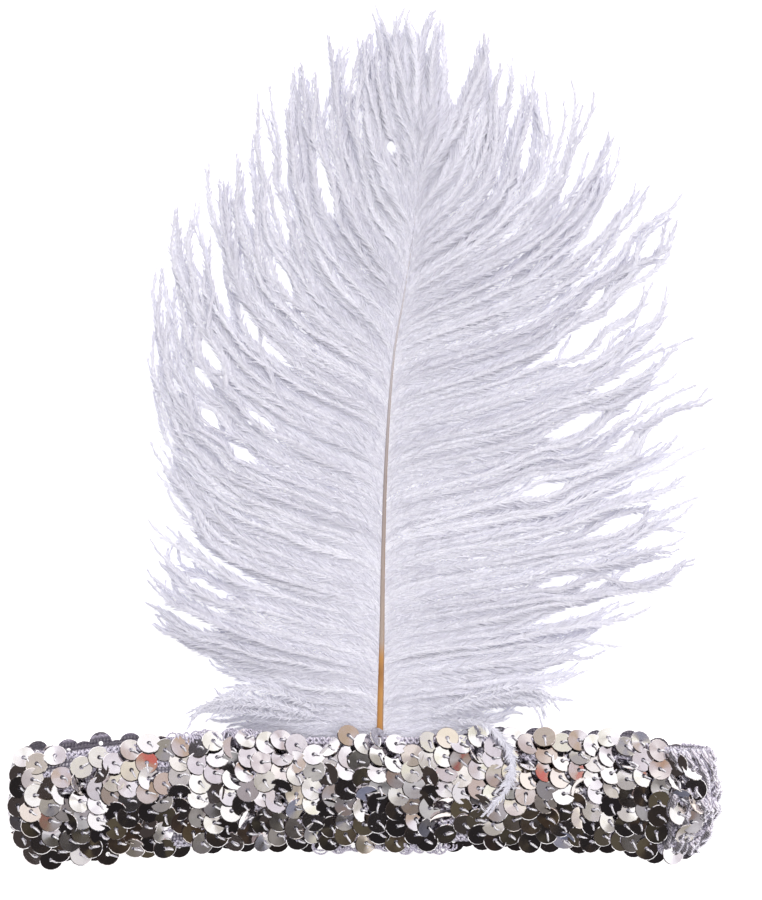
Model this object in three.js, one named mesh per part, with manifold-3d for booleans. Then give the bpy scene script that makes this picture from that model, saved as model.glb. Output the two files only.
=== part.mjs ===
// Flapper headband: a stretch loop covered in sequins, with an ostrich plume tucked in behind its front.
// It lies flat, as it is stored: X runs along the flattened loop, Y from the band to the plume's tip,
// and Z up from the table. The origin is on the table, under the middle of the band. Millimetres.

import * as THREE from "three";
import { mergeVertices } from "three/addons/utils/BufferGeometryUtils.js";
import Module from "manifold-3d";

const wasm = await Module();
wasm.setup();

// Driving sizes
const GAP = 0.3;
const LOOP = { flatLength: 182, width: 26, wall: 1.2, hollow: 10, crown: 2.6 };
const SEQUIN = { diameter: 6, rows: 7, rowPitch: 3.95, columnPitch: 4.2, zigzag: 0.8 };
const FIELD = { backing: 1.2, backDepth: 1.3, rise: 0.4, lean: 0.16, pressedTurn: 2.4, pressedLip: 0.2 };
const FACETS = { sequinArc: 3, backArc: 2, loopEnd: 6, loopLong: 16, loopWide: 4 };
const LEVEL = { inner: 0, foot: 1, lip: 2 };
const CORNER = { start: 50, lower: 8, upper: 2 };
const QUILL = { footRadius: 0.95, tipRadius: 0.3, sides: 8, steps: 13 };
const VANE = { foot: 19.2, webDepth: 2.6, webReach: 0.6, lockStart: 0.44 };
const LOCK = { halfWidth: 7.4, halfDepth: 1.9, slimness: 0.12, slimming: 0.25, arch: 1.2 };
const LOCK_FACETS = { sides: 4, steps: 4, tipSteps: 2 };
const LOCK_TIP = { scale: 0.06, height: 0.4 };

// Where a barb's bend is drawn to, as shares of its reach out, up the plume and down to the table. Its
// late bend is between that of a straight barb and that of one which turns up at its end.
const BARB_EARLY = { out: 0.4, up: 0.18, fall: 0 };
const BARB_STRAIGHT = { out: 0.8, up: 0.5, fall: 0.6 };
const BARB_TURNED = { out: 1.02, up: 0.28, fall: 0.6 };

// How the flattened band lies: its drop towards the wearer's side and the sag of its upper layer.
const BAND_LIE = [
  { across: -91, drop: 2.2, sag: 0.0 },
  { across: -55, drop: -1.0, sag: 0.9 },
  { across: -25, drop: -2.7, sag: 0.6 },
  { across: -10, drop: -2.9, sag: 0.0 },
  { across: 12, drop: -2.9, sag: 0.0 },
  { across: 45, drop: -2.9, sag: 1.0 },
  { across: 63, drop: -2.6, sag: 0.8 },
  { across: 82, drop: -0.2, sag: 0.2 },
  { across: 91, drop: 0.2, sag: 0.0 },
];

// The quill's line, from its foot inside the loop to its tip.
const QUILL_LINE = [
  { across: 4.0, up: -10.0, height: 8.75 },
  { across: 4.2, up: 16.6, height: 8.75 },
  { across: 4.7, up: 41.0, height: 7.4 },
  { across: 5.0, up: 61.4, height: 6.4 },
  { across: 5.8, up: 87.0, height: 5.5 },
  { across: 7.6, up: 112.6, height: 5.0 },
  { across: 10.6, up: 130.6, height: 5.0 },
  { across: 13.2, up: 148.5, height: 5.0 },
  { across: 14.2, up: 161.3, height: 5.2 },
  { across: 13.3, up: 173.0, height: 5.6 },
];

// One row for each lock of barbs: where it leaves the quill, where its tip lies and how far it turns up.
const LEFT_LOCKS = [
  { root: 24.5, tipAcross: -40, tipUp: 24.5, turn: 0.0 },
  { root: 28, tipAcross: -44.5, tipUp: 33, turn: 0.0 },
  { root: 33, tipAcross: -57, tipUp: 50.5, turn: 0.25 },
  { root: 39, tipAcross: -57, tipUp: 58.5, turn: 0.4 },
  { root: 45, tipAcross: -51, tipUp: 69, turn: 0.6 },
  { root: 53, tipAcross: -50, tipUp: 88, turn: 0.9 },
  { root: 63, tipAcross: -52.5, tipUp: 103, turn: 0.95 },
  { root: 72, tipAcross: -52.5, tipUp: 127, turn: 1.0 },
  { root: 81, tipAcross: -50.3, tipUp: 135.5, turn: 1.0 },
  { root: 93, tipAcross: -46.5, tipUp: 151.5, turn: 1.0 },
  { root: 109, tipAcross: -34, tipUp: 166, turn: 1.0 },
  { root: 116, tipAcross: -21, tipUp: 179.5, turn: 1.0 },
  { root: 134, tipAcross: -9, tipUp: 190.5, turn: 0.95 },
  { root: 148, tipAcross: 0, tipUp: 195.5, turn: 0.9 },
  { root: 174, tipAcross: 9, tipUp: 200, turn: 0.5 },
];
const RIGHT_LOCKS = [
  { root: 24, tipAcross: 45, tipUp: 24.5, turn: 0.0 },
  { root: 31, tipAcross: 66, tipUp: 39, turn: 0.0 },
  { root: 39, tipAcross: 75.5, tipUp: 55, turn: 0.0 },
  { root: 47, tipAcross: 83.6, tipUp: 65, turn: 0.0 },
  { root: 60, tipAcross: 81.5, tipUp: 80, turn: 0.0 },
  { root: 74, tipAcross: 85.4, tipUp: 103, turn: 0.1 },
  { root: 87, tipAcross: 84, tipUp: 116.5, turn: 0.15 },
  { root: 97, tipAcross: 81, tipUp: 131, turn: 0.2 },
  { root: 106, tipAcross: 76.4, tipUp: 143.5, turn: 0.3 },
  { root: 115, tipAcross: 73, tipUp: 155, turn: 0.4 },
  { root: 124, tipAcross: 68, tipUp: 169, turn: 0.4 },
  { root: 133, tipAcross: 48, tipUp: 183, turn: 0.9 },
  { root: 143, tipAcross: 34, tipUp: 189.5, turn: 1.2 },
  { root: 159, tipAcross: 25, tipUp: 196, turn: 1.0 },
  { root: 174, tipAcross: 16.5, tipUp: 199.5, turn: 0.5 },
];

// Levels and lengths that follow from the driving sizes
const backingIn = LOOP.wall + GAP;
const backingOut = backingIn + FIELD.backing;
const hollowLow = FIELD.backDepth + GAP + LOOP.wall;
const endRadius = LOOP.hollow / 2;
const endCentre = LOOP.flatLength / 2 - endRadius - backingOut;
const midHeight = hollowLow + endRadius;
const fieldHalf = ((SEQUIN.rows - 1) * SEQUIN.rowPitch + SEQUIN.diameter) / 2 + SEQUIN.zigzag;

// Reads a column of a table at a place, with a smooth step from each row to the next.
function readTable(table, place, column, at) {
  const last = table.length - 1;
  if (at <= table[0][place]) return table[0][column];
  if (at >= table[last][place]) return table[last][column];
  const next = table.findIndex((row) => row[place] >= at);
  const share = (at - table[next - 1][place]) / (table[next][place] - table[next - 1][place]);
  const eased = share * share * (3 - 2 * share);
  return THREE.MathUtils.lerp(table[next - 1][column], table[next][column], eased);
}

// Lays a place of the straight band where the bowed band has it, with its ends drawn in at their corners.
function layBand(across, up) {
  const corner = (up < 0 ? CORNER.lower : CORNER.upper) * (up / fieldHalf) ** 2;
  const near = THREE.MathUtils.smoothstep(Math.abs(across), CORNER.start, LOOP.flatLength / 2);
  const drop = readTable(BAND_LIE, "across", "drop", across);
  return new THREE.Vector2(across - Math.sign(across) * corner * near, up - drop);
}

// How far the upper layer falls below its highest level, by its sag along the band and crown across it.
function bandFall(across, up) {
  const flat = THREE.MathUtils.clamp(across, -endCentre, endCentre);
  return readTable(BAND_LIE, "across", "sag", flat) + LOOP.crown * (up / (LOOP.width / 2)) ** 2;
}

// Joins and cuts

function toSolid(geometry) {
  const bare = geometry.clone();
  bare.deleteAttribute("normal");
  bare.deleteAttribute("uv");
  const merged = mergeVertices(bare, 1e-4);
  return new wasm.Manifold(new wasm.Mesh({
    numProp: 3,
    vertProperties: new Float32Array(merged.attributes.position.array),
    triVerts: new Uint32Array(merged.index.array),
  }));
}

function toGeometry(solid) {
  const mesh = solid.getMesh();
  const geometry = new THREE.BufferGeometry();
  geometry.setAttribute("position", new THREE.BufferAttribute(mesh.vertProperties.slice(), 3));
  geometry.setIndex(new THREE.BufferAttribute(mesh.triVerts.slice(), 1));
  geometry.computeVertexNormals();
  return geometry;
}

// Joins neighbours in pairs, then the pairs, until one body is left.
function fuse(geometries) {
  let solids = geometries.map(toSolid);
  while (solids.length > 1) {
    const joined = [];
    for (let i = 0; i < solids.length; i += 2) {
      joined.push(i + 1 < solids.length ? solids[i].add(solids[i + 1]) : solids[i]);
    }
    solids = joined;
  }
  return toGeometry(solids[0]);
}

// Shapes

function moveVertices(geometry, move) {
  const position = geometry.attributes.position;
  const point = new THREE.Vector3();
  for (let i = 0; i < position.count; i++) {
    point.fromBufferAttribute(position, i);
    move(point);
    position.setXYZ(i, point.x, point.y, point.z);
  }
  geometry.computeVertexNormals();
  return geometry;
}

// Points of the flattened loop's outline at a distance outside the hollow, from the table side of the
// right end, over the upper layer, to the table side of the left end.
function overLoop(outside) {
  const radius = endRadius + outside;
  const points = [];
  const addEnd = (centre, start) => {
    for (let i = 0; i <= FACETS.loopEnd; i++) {
      const turn = start + (Math.PI * i) / FACETS.loopEnd;
      points.push(new THREE.Vector2(centre + radius * Math.cos(turn), midHeight + radius * Math.sin(turn)));
    }
  };
  addEnd(endCentre, -Math.PI / 2);
  for (let i = 1; i < FACETS.loopLong; i++) {
    points.push(new THREE.Vector2(endCentre * (1 - (2 * i) / FACETS.loopLong), midHeight + radius));
  }
  addEnd(-endCentre, Math.PI / 2);
  return points;
}

// The rest of that outline, along the table from the left end to the right.
function underLoop(outside) {
  const points = [];
  for (let i = 1; i < FACETS.loopLong; i++) {
    const across = endCentre * (-1 + (2 * i) / FACETS.loopLong);
    points.push(new THREE.Vector2(across, midHeight - endRadius - outside));
  }
  return points;
}

// A tapered solid along a curve, lens-shaped or round, with its flat way level.
function taperAlong(curve, sides, steps, halfWidth, halfDepth) {
  const geometry = new THREE.CylinderGeometry(1, 1, 1, sides, steps);
  const level = new THREE.Vector3(0, 0, 1);
  return moveVertices(geometry, (point) => {
    const share = THREE.MathUtils.clamp(0.5 + point.y, 0, 1);
    const place = curve.getPoint(share);
    const along = curve.getTangent(share);
    const side = new THREE.Vector3().crossVectors(along, level).normalize();
    const rise = new THREE.Vector3().crossVectors(side, along).normalize();
    const wide = point.x * halfWidth(share);
    const deep = point.z * halfDepth(share);
    point.copy(place).addScaledVector(side, wide).addScaledVector(rise, deep);
  });
}

// Elastic band

const stepOf = (angle, count) => (Math.round((angle * count) / (2 * Math.PI)) + count) % count;

// A ring whose section becomes the wall, its outer face and then its inner one, and whose way round
// becomes the flattened loop, with the upper layer's sag and crown and the band's bow.
function elasticBand() {
  const outer = [...overLoop(LOOP.wall), ...underLoop(LOOP.wall)];
  const inner = [...overLoop(0), ...underLoop(0)];
  const wide = FACETS.loopWide + 1;
  const [ringRadius, ringTube] = [2, 1];
  const ring = new THREE.TorusGeometry(ringRadius, ringTube, 2 * wide, outer.length);
  return moveVertices(ring, (point) => {
    const around = stepOf(Math.atan2(point.y, point.x), outer.length);
    const over = stepOf(Math.atan2(point.z, Math.hypot(point.x, point.y) - ringRadius), 2 * wide);
    const place = over < wide ? outer[around] : inner[around];
    const fromTop = over < wide ? over : 2 * wide - 1 - over;
    const up = LOOP.width * (0.5 - fromTop / (wide - 1));
    const past = Math.max(0, Math.abs(place.x) - endCentre);
    const above = place.y - midHeight;
    const fall = Math.max(0, above / Math.hypot(past, above)) * bandFall(place.x, up);
    const laid = layBand(place.x, up);
    point.set(laid.x, laid.y, place.y - fall);
  });
}

// Sequins

// How far the lapped round edges of a row reach below its middle at a place along the band. Sequins are
// sewn in a zigzag, so every other one sits higher; side is -1 for the lower edge and 1 for the upper.
function scallop(across, side) {
  const radius = SEQUIN.diameter / 2;
  const nearest = Math.round(across / SEQUIN.columnPitch);
  const edges = [nearest - 1, nearest, nearest + 1].map((column) => {
    const away = Math.min(radius, Math.abs(across - column * SEQUIN.columnPitch));
    const zigzag = column % 2 === 0 ? -SEQUIN.zigzag : SEQUIN.zigzag;
    return side * zigzag + Math.sqrt(radius ** 2 - away ** 2);
  });
  return side * Math.max(...edges);
}

const rowMiddle = (row) => (row - (SEQUIN.rows - 1) / 2) * SEQUIN.rowPitch;

// The place up the band of a row's lower edge; past the last row it is that row's upper edge.
function rowEdge(row, along) {
  return row < SEQUIN.rows ? rowMiddle(row) + scallop(along, -1) : rowMiddle(row - 1) + scallop(along, 1);
}

// The outline of the field across the band, as steps: across is a row's number, and up is a level of it,
// from the backing's inner face to the foot and the lip of the lower edge that laps the row below.
function rowSteps() {
  const points = [];
  for (let row = 0; row <= SEQUIN.rows; row++) points.push(new THREE.Vector2(row, LEVEL.inner));
  points.push(new THREE.Vector2(SEQUIN.rows, LEVEL.foot));
  for (let row = SEQUIN.rows - 1; row > 0; row--) {
    points.push(new THREE.Vector2(row, LEVEL.lip), new THREE.Vector2(row, LEVEL.foot));
  }
  points.push(new THREE.Vector2(0, LEVEL.lip));
  return points;
}

// Height of a level above the elastic's inner face. The lapped rows lean, so each lip stands proud, but
// where the field is pressed against the table, the lips lie down.
function levelHeight(row, level, up, pressed) {
  if (level === LEVEL.inner) return backingIn;
  const owner = level === LEVEL.lip ? row : row - 1;
  const free = backingOut + FIELD.rise - FIELD.lean * (up - rowMiddle(owner));
  const flat = level === LEVEL.lip ? backingOut : backingOut - FIELD.pressedLip;
  return THREE.MathUtils.lerp(free, flat, pressed);
}

// The field on the upper layer and round both ends of the loop: steps run along the loop, then each
// vertex is put at its row's scalloped edge and bent over the end that it is past.
function sequinsFront() {
  const bendRadius = endRadius + backingOut;
  const halfRun = endCentre + Math.PI * bendRadius - GAP / 2;
  const steps = Math.round((2 * halfRun * FACETS.sequinArc) / SEQUIN.columnPitch);
  const settings = { depth: 2 * halfRun, steps, bevelEnabled: false };
  const geometry = new THREE.ExtrudeGeometry(new THREE.Shape(rowSteps()), settings);
  return moveVertices(geometry, (point) => {
    const along = point.z - halfRun;
    const up = rowEdge(Math.round(point.x), along);
    const turn = Math.max(0, Math.abs(along) - endCentre) / bendRadius;
    const pressed = THREE.MathUtils.smoothstep(turn, Math.PI / 2, FIELD.pressedTurn);
    const height = levelHeight(Math.round(point.x), Math.round(point.y), up, pressed);
    const flat = Math.sign(along) * Math.min(Math.abs(along), endCentre);
    const fall = Math.max(0, Math.cos(turn)) * bandFall(flat, up);
    const laid = layBand(flat + Math.sign(along) * (endRadius + height) * Math.sin(turn), up);
    point.set(laid.x, laid.y, midHeight + (endRadius + height) * Math.cos(turn) - fall);
  });
}

// The field on the under layer, pressed flat, with the scallops of its outer rows.
function sequinsBack() {
  const reach = endCentre - GAP / 2;
  const steps = Math.round((2 * reach * FACETS.backArc) / SEQUIN.columnPitch);
  const places = Array.from({ length: steps + 1 }, (_, i) => -reach + (2 * reach * i) / steps);
  const edge = (row) => places.map((across) => layBand(across, rowEdge(row, across)));
  const shape = new THREE.Shape([...edge(0), ...edge(SEQUIN.rows).reverse()]);
  return new THREE.ExtrudeGeometry(shape, { depth: FIELD.backDepth, bevelEnabled: false });
}

// Plume

const quillCurve = new THREE.CatmullRomCurve3(
  QUILL_LINE.map((row) => new THREE.Vector3(row.across, row.up, row.height)),
);

const quillRadius = (share) => THREE.MathUtils.lerp(QUILL.footRadius, QUILL.tipRadius, share);

function quill() {
  return taperAlong(quillCurve, QUILL.sides, QUILL.steps, quillRadius, quillRadius);
}

// The place on the quill at a height up the plume, found by halving.
function quillShare(up) {
  let [low, high] = [0, 1];
  for (let i = 0; i < 30; i++) {
    const middle = (low + high) / 2;
    if (quillCurve.getPoint(middle).y < up) low = middle;
    else high = middle;
  }
  return low;
}

// The point beside the quill where barbs at a height up the plume are rooted; side is -1 left, 1 right.
function rootBeside(up, side) {
  const share = quillShare(up);
  const root = quillCurve.getPoint(share);
  root.x += side * (quillRadius(share) + GAP);
  return root;
}

// A barb leaves at a low slope and then turns up towards the plume's tip.
function barbCurve(row, side) {
  const root = rootBeside(row.root, side);
  const tip = new THREE.Vector3(row.tipAcross, row.tipUp, LOCK_TIP.height);
  const reach = tip.clone().sub(root);
  const bend = ({ out, up, fall }) => {
    const drawn = new THREE.Vector3(out * reach.x, up * reach.y, fall * reach.z + LOCK.arch);
    return drawn.add(root);
  };
  const late = bend(BARB_STRAIGHT).lerp(bend(BARB_TURNED), row.turn);
  return new THREE.CubicBezierCurve3(root, bend(BARB_EARLY), late, tip);
}

function lock(row, side) {
  const whole = barbCurve(row, side);
  const places = [];
  for (let i = 0; i <= LOCK_FACETS.steps; i++) {
    places.push(whole.getPoint(THREE.MathUtils.lerp(VANE.lockStart, 1, i / LOCK_FACETS.steps)));
  }
  const middle = new THREE.CatmullRomCurve3(places);
  const widest = Math.min(LOCK.halfWidth, LOCK.slimness * whole.getLength());
  const taper = (share) => {
    const slimmed = Math.sqrt(1 - share * share) * (1 - LOCK.slimming * share);
    return Math.max(LOCK_TIP.scale, slimmed);
  };
  const halfWidth = (share) => widest * taper(share);
  const halfDepth = (share) => LOCK.halfDepth * taper(share);
  return taperAlong(middle, LOCK_FACETS.sides, LOCK_FACETS.steps, halfWidth, halfDepth);
}

// The dense inner vane on one side, from the quill out to where the locks part, at the barbs' own heights.
function web(rows, side) {
  const inner = rows.map((row) => rootBeside(row.root, side));
  const outer = rows.map((row) => barbCurve(row, side).getPoint(VANE.webReach));
  inner[0].y = VANE.foot;
  const outline = [...inner, ...outer.reverse()];
  const flat = outline.map((point) => new THREE.Vector2(point.x, point.y));
  if (THREE.ShapeUtils.isClockWise(flat)) flat.reverse();
  const geometry = new THREE.ExtrudeGeometry(new THREE.Shape(flat), {
    depth: VANE.webDepth,
    bevelEnabled: false,
  });
  const away = (place, point) => Math.hypot(place.x - point.x, place.y - point.y);
  return moveVertices(geometry, (point) => {
    const seat = outline.reduce((best, place) => (away(place, point) < away(best, point) ? place : best));
    point.z += seat.z - VANE.webDepth / 2;
  });
}

// A short cap of barbs past the quill's tip, which joins the two sides.
function tipLock() {
  const foot = QUILL_LINE[QUILL_LINE.length - 1];
  const start = new THREE.Vector3(foot.across, foot.up + GAP, foot.height);
  const end = new THREE.Vector3(foot.across, LEFT_LOCKS[LEFT_LOCKS.length - 1].tipUp, LOCK_TIP.height);
  const curve = new THREE.LineCurve3(start, end);
  const halfWidth = (share) => LOCK.halfWidth * Math.max(LOCK_TIP.scale, 1 - share);
  const halfDepth = (share) => LOCK.halfDepth * Math.max(LOCK_TIP.scale, 1 - share);
  return taperAlong(curve, LOCK_FACETS.sides, LOCK_FACETS.tipSteps, halfWidth, halfDepth);
}

function plumeVane() {
  return fuse([
    web(LEFT_LOCKS, -1),
    ...LEFT_LOCKS.map((row) => lock(row, -1)),
    tipLock(),
    ...RIGHT_LOCKS.map((row) => lock(row, 1)),
    web(RIGHT_LOCKS, 1),
  ]);
}

// Finishes
const elasticFinish = new THREE.MeshStandardMaterial({ color: 0xb9b5c2, roughness: 0.7, metalness: 0 });
const sequinFinish = new THREE.MeshStandardMaterial({ color: 0xd9d6d8, roughness: 0.1, metalness: 1 });
const quillFinish = new THREE.MeshStandardMaterial({ color: 0xbe976d, roughness: 0.5, metalness: 0 });
const plumeFinish = new THREE.MeshStandardMaterial({ color: 0xdad8e5, roughness: 0.9, metalness: 0 });

function piece(name, geometry, material) {
  const mesh = new THREE.Mesh(geometry, material);
  mesh.name = name;
  return mesh;
}

const band = new THREE.Group();
band.add(piece("elastic_band", elasticBand(), elasticFinish));
band.add(piece("sequins_front", sequinsFront(), sequinFinish));
band.add(piece("sequins_back", sequinsBack(), sequinFinish));

const plume = new THREE.Group();
plume.add(piece("quill", quill(), quillFinish));
plume.add(piece("plume_vane", plumeVane(), plumeFinish));

const headband = new THREE.Group();
headband.add(band, plume);

export default headband;
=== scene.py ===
"""Dresses the flapper headband: a flattened stretch loop covered in sequins, with an ostrich plume.

Sizes and places are in millimetres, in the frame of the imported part: X along the band, Y from the band
to the plume's tip, Z up from the table. Meshes are stored in metres.
"""

from __future__ import annotations

import logging
import math
from collections.abc import Mapping, Sequence
from dataclasses import dataclass
from enum import Enum

import bpy
import numpy as np
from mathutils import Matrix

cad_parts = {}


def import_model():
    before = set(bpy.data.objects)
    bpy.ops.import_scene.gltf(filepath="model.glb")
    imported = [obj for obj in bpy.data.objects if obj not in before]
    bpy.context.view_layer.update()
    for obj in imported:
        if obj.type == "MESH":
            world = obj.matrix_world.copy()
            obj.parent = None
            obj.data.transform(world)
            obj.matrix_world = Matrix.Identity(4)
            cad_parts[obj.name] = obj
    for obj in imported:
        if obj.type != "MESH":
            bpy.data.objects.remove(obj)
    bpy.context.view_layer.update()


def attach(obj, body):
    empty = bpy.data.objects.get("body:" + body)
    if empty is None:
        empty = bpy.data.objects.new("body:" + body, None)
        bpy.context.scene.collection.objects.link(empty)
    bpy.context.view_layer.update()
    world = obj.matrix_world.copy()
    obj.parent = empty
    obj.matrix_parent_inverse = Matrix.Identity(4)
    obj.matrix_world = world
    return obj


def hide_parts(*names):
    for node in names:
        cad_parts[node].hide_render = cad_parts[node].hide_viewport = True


Array = np.ndarray
Piece = bpy.types.Object
Span = tuple[float, float]
Triple = tuple[float, float, float]
Stops = Sequence[tuple[float, str]]

LOG = logging.getLogger("headband")
METRES = 0.001
# How far pieces are kept off the table, in millimetres.
TABLE_GAP = 0.02
# The least length that a direction is divided by.
TINY = 1e-9
# How much of a face's normal has to be upright for the face to count as level.
LEVEL_NORMAL = 0.99
# Almost straight up, so that no thread or barb runs along it.
NEARLY_UP = np.array([0.03, 0.05, 1.0])
# The scale at which a wave texture draws one band in each unit.
WAVE_BANDS = 0.314
# The end of a chance phase in radians, about a full turn.
FULL_TURN = 6.3
# Points of a blade.
BLADE_POINTS = 4
# Sockets of a Mix node that mixes colours.
MIX_SHARE = 0
MIX_FIRST = 6
MIX_SECOND = 7
MIX_RESULT = 2


class Layer(Enum):
    """The two layers of the flattened loop that carry sequins."""

    FRONT = "sequins_front"
    BACK = "sequins_back"


class Side(Enum):
    """The side of the quill that a barb grows on."""

    LEFT = -1
    RIGHT = 1


def linear(hex_colour: str) -> tuple[float, float, float, float]:
    """Turns an sRGB hex colour into linear light.

    Args:
        hex_colour: Six hex digits.

    Returns:
        Red, green, blue and full alpha.
    """
    channels = [int(hex_colour[i : i + 2], 16) / 255 for i in (0, 2, 4)]
    light = [c / 12.92 if c <= 0.04045 else ((c + 0.055) / 1.055) ** 2.4 for c in channels]
    return (light[0], light[1], light[2], 1.0)


def wire(tree: bpy.types.NodeTree, node: bpy.types.Node, inputs: Mapping[str | int, object]) -> None:
    """Sets and links a node's inputs.

    Args:
        tree: The node's tree.
        node: The node.
        inputs: A value for each named input, or the output socket that feeds it.
    """
    for socket, value in inputs.items():
        if isinstance(value, bpy.types.NodeSocket):
            tree.links.new(value, node.inputs[socket])
        else:
            node.inputs[socket].default_value = value


def add_node(
    tree: bpy.types.NodeTree,
    kind: str,
    inputs: Mapping[str | int, object] | None = None,
    stops: Stops = (),
    **settings: object,
) -> bpy.types.Node:
    """Adds a node with its settings and links.

    Args:
        tree: The node tree that takes the node.
        kind: Blender's name for the node.
        inputs: A value for each named input, or the output socket that feeds it.
        stops: Places and hex colours of a colour ramp.
        **settings: Properties of the node itself.

    Returns:
        The new node.
    """
    node = tree.nodes.new(kind)
    for name, value in settings.items():
        setattr(node, name, value)
    wire(tree, node, inputs or {})
    if stops:
        elements = node.color_ramp.elements
        while len(elements) < len(stops):
            elements.new(1.0)
        for element, (place, colour) in zip(elements, stops):
            element.position = place
            element.color = linear(colour)
    return node


def new_material(name: str) -> tuple[bpy.types.Material, bpy.types.NodeTree, bpy.types.Node]:
    """Makes an empty node material.

    Args:
        name: The real material's name.

    Returns:
        The material, its tree and its Principled shader.
    """
    material = bpy.data.materials.new(name)
    material.use_nodes = True
    tree = material.node_tree
    return material, tree, tree.nodes["Principled BSDF"]


def deselect_all() -> None:
    """Leaves nothing selected, so that the next operator acts on the new primitive alone."""
    bpy.ops.object.select_all(action="DESELECT")


def select_faces(mesh: bpy.types.Mesh, normal_z: float) -> None:
    """Selects the faces that look straight up or down, from edit mode and back into it.

    Args:
        mesh: The mesh in edit mode.
        normal_z: 1 for faces that look up, -1 for those that look down.
    """
    bpy.ops.mesh.select_all(action="DESELECT")
    bpy.ops.object.mode_set(mode="OBJECT")
    for polygon in mesh.polygons:
        polygon.select = polygon.normal.z * normal_z > LEVEL_NORMAL
    bpy.ops.object.mode_set(mode="EDIT")


def new_piece(name: str, points: Array, faces: Array, flat: bool = False) -> Piece:
    """Makes a mesh object from arrays.

    Args:
        name: The piece's name.
        points: Points in millimetres, one row each.
        faces: Point numbers, one row for each face.
        flat: Whether its faces are shaded flat.

    Returns:
        The object, linked to the scene.
    """
    mesh = bpy.data.meshes.new(name)
    mesh.vertices.add(len(points))
    mesh.vertices.foreach_set("co", (points * METRES).astype(np.float32).ravel())
    mesh.loops.add(faces.size)
    mesh.loops.foreach_set("vertex_index", faces.astype(np.int32).ravel())
    mesh.polygons.add(len(faces))
    mesh.polygons.foreach_set("loop_start", np.arange(0, faces.size, faces.shape[1], dtype=np.int32))
    mesh.polygons.foreach_set("use_smooth", np.full(len(faces), not flat))
    mesh.update(calc_edges=True)
    piece = bpy.data.objects.new(name, mesh)
    bpy.context.scene.collection.objects.link(piece)
    return piece


def set_shade(piece: Piece, name: str, values: Array) -> None:
    """Gives each vertex a number that its finish reads.

    Args:
        piece: The mesh object.
        name: The name that the finish reads.
        values: One number for each vertex.
    """
    attribute = piece.data.attributes.new(name, "FLOAT", "POINT")
    attribute.data.foreach_set("value", values.astype(np.float32))


def fit_piece(piece: Piece, node: str, material: bpy.types.Material) -> None:
    """Dresses a finished piece and lets it stand for a CAD node.

    Args:
        piece: The finished mesh object.
        node: The CAD node that it stands for.
        material: Its finish.
    """
    piece.data.materials.clear()
    piece.data.materials.append(material)
    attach(piece, "root")
    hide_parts(node)
    LOG.info("%s: %d faces", piece.name, len(piece.data.polygons))


def unit(vectors: Array) -> Array:
    """Vectors of the same directions and length 1."""
    return vectors / np.maximum(np.linalg.norm(vectors, axis=-1, keepdims=True), TINY)


def ease(low: float, high: float, values: Array) -> Array:
    """A smooth step from 0 at low to 1 at high."""
    share = np.clip((values - low) / (high - low), 0.0, 1.0)
    return share * share * (3.0 - 2.0 * share)


def grown(low: float, share: Array) -> Array:
    """A factor that grows from low, where the share is 0, to 1."""
    return low + (1.0 - low) * share


def above_table(points: Array) -> Array:
    """The points, raised to just above the table where they would dip into it."""
    return np.maximum(points, [-np.inf, -np.inf, TABLE_GAP])


def by_lock(
    chance: np.random.Generator, owner: Array, lock_size: float, own_size: float
) -> Array:
    """A chance difference for each barb, partly its lock's and partly its own.

    Args:
        chance: The source of the differences.
        owner: The number of each barb's lock.
        lock_size: How far locks differ.
        own_size: How far barbs of one lock differ.

    Returns:
        One number for each barb.
    """
    of_lock = lock_size * chance.normal(size=owner.max() + 1)[owner]
    return of_lock + own_size * chance.normal(size=len(owner))


def through(points: Array, shares: Array) -> Array:
    """Reads a smooth curve through points.

    Args:
        points: The points that it passes through.
        shares: Places along it, from 0 to 1.

    Returns:
        The curve's points.
    """
    padded = np.vstack([2 * points[0] - points[1], points, 2 * points[-1] - points[-2]])
    place = np.clip(shares, 0.0, 1.0) * (len(points) - 1)
    span = np.minimum(place.astype(int), len(points) - 2)
    t = (place - span)[:, None]
    before, start, end, after = (padded[span + i] for i in range(4))
    return 0.5 * (
        2 * start
        + (end - before) * t
        + (2 * before - 5 * start + 4 * end - after) * t**2
        + (3 * start - before - 3 * end + after) * t**3
    )


def rolled(along: Array, roll: Array | float) -> tuple[Array, Array]:
    """Directions beside and above lines.

    Args:
        along: Unit directions of the lines.
        roll: How far each pair is rolled about its line.

    Returns:
        The direction to the side and the one above.
    """
    level = unit(np.cross(along, NEARLY_UP))
    upright = np.cross(level, along)
    turned = np.expand_dims(np.broadcast_to(roll, along.shape[:-1]), -1)
    side = np.cos(turned) * level + np.sin(turned) * upright
    return side, np.cross(side, along)


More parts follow.
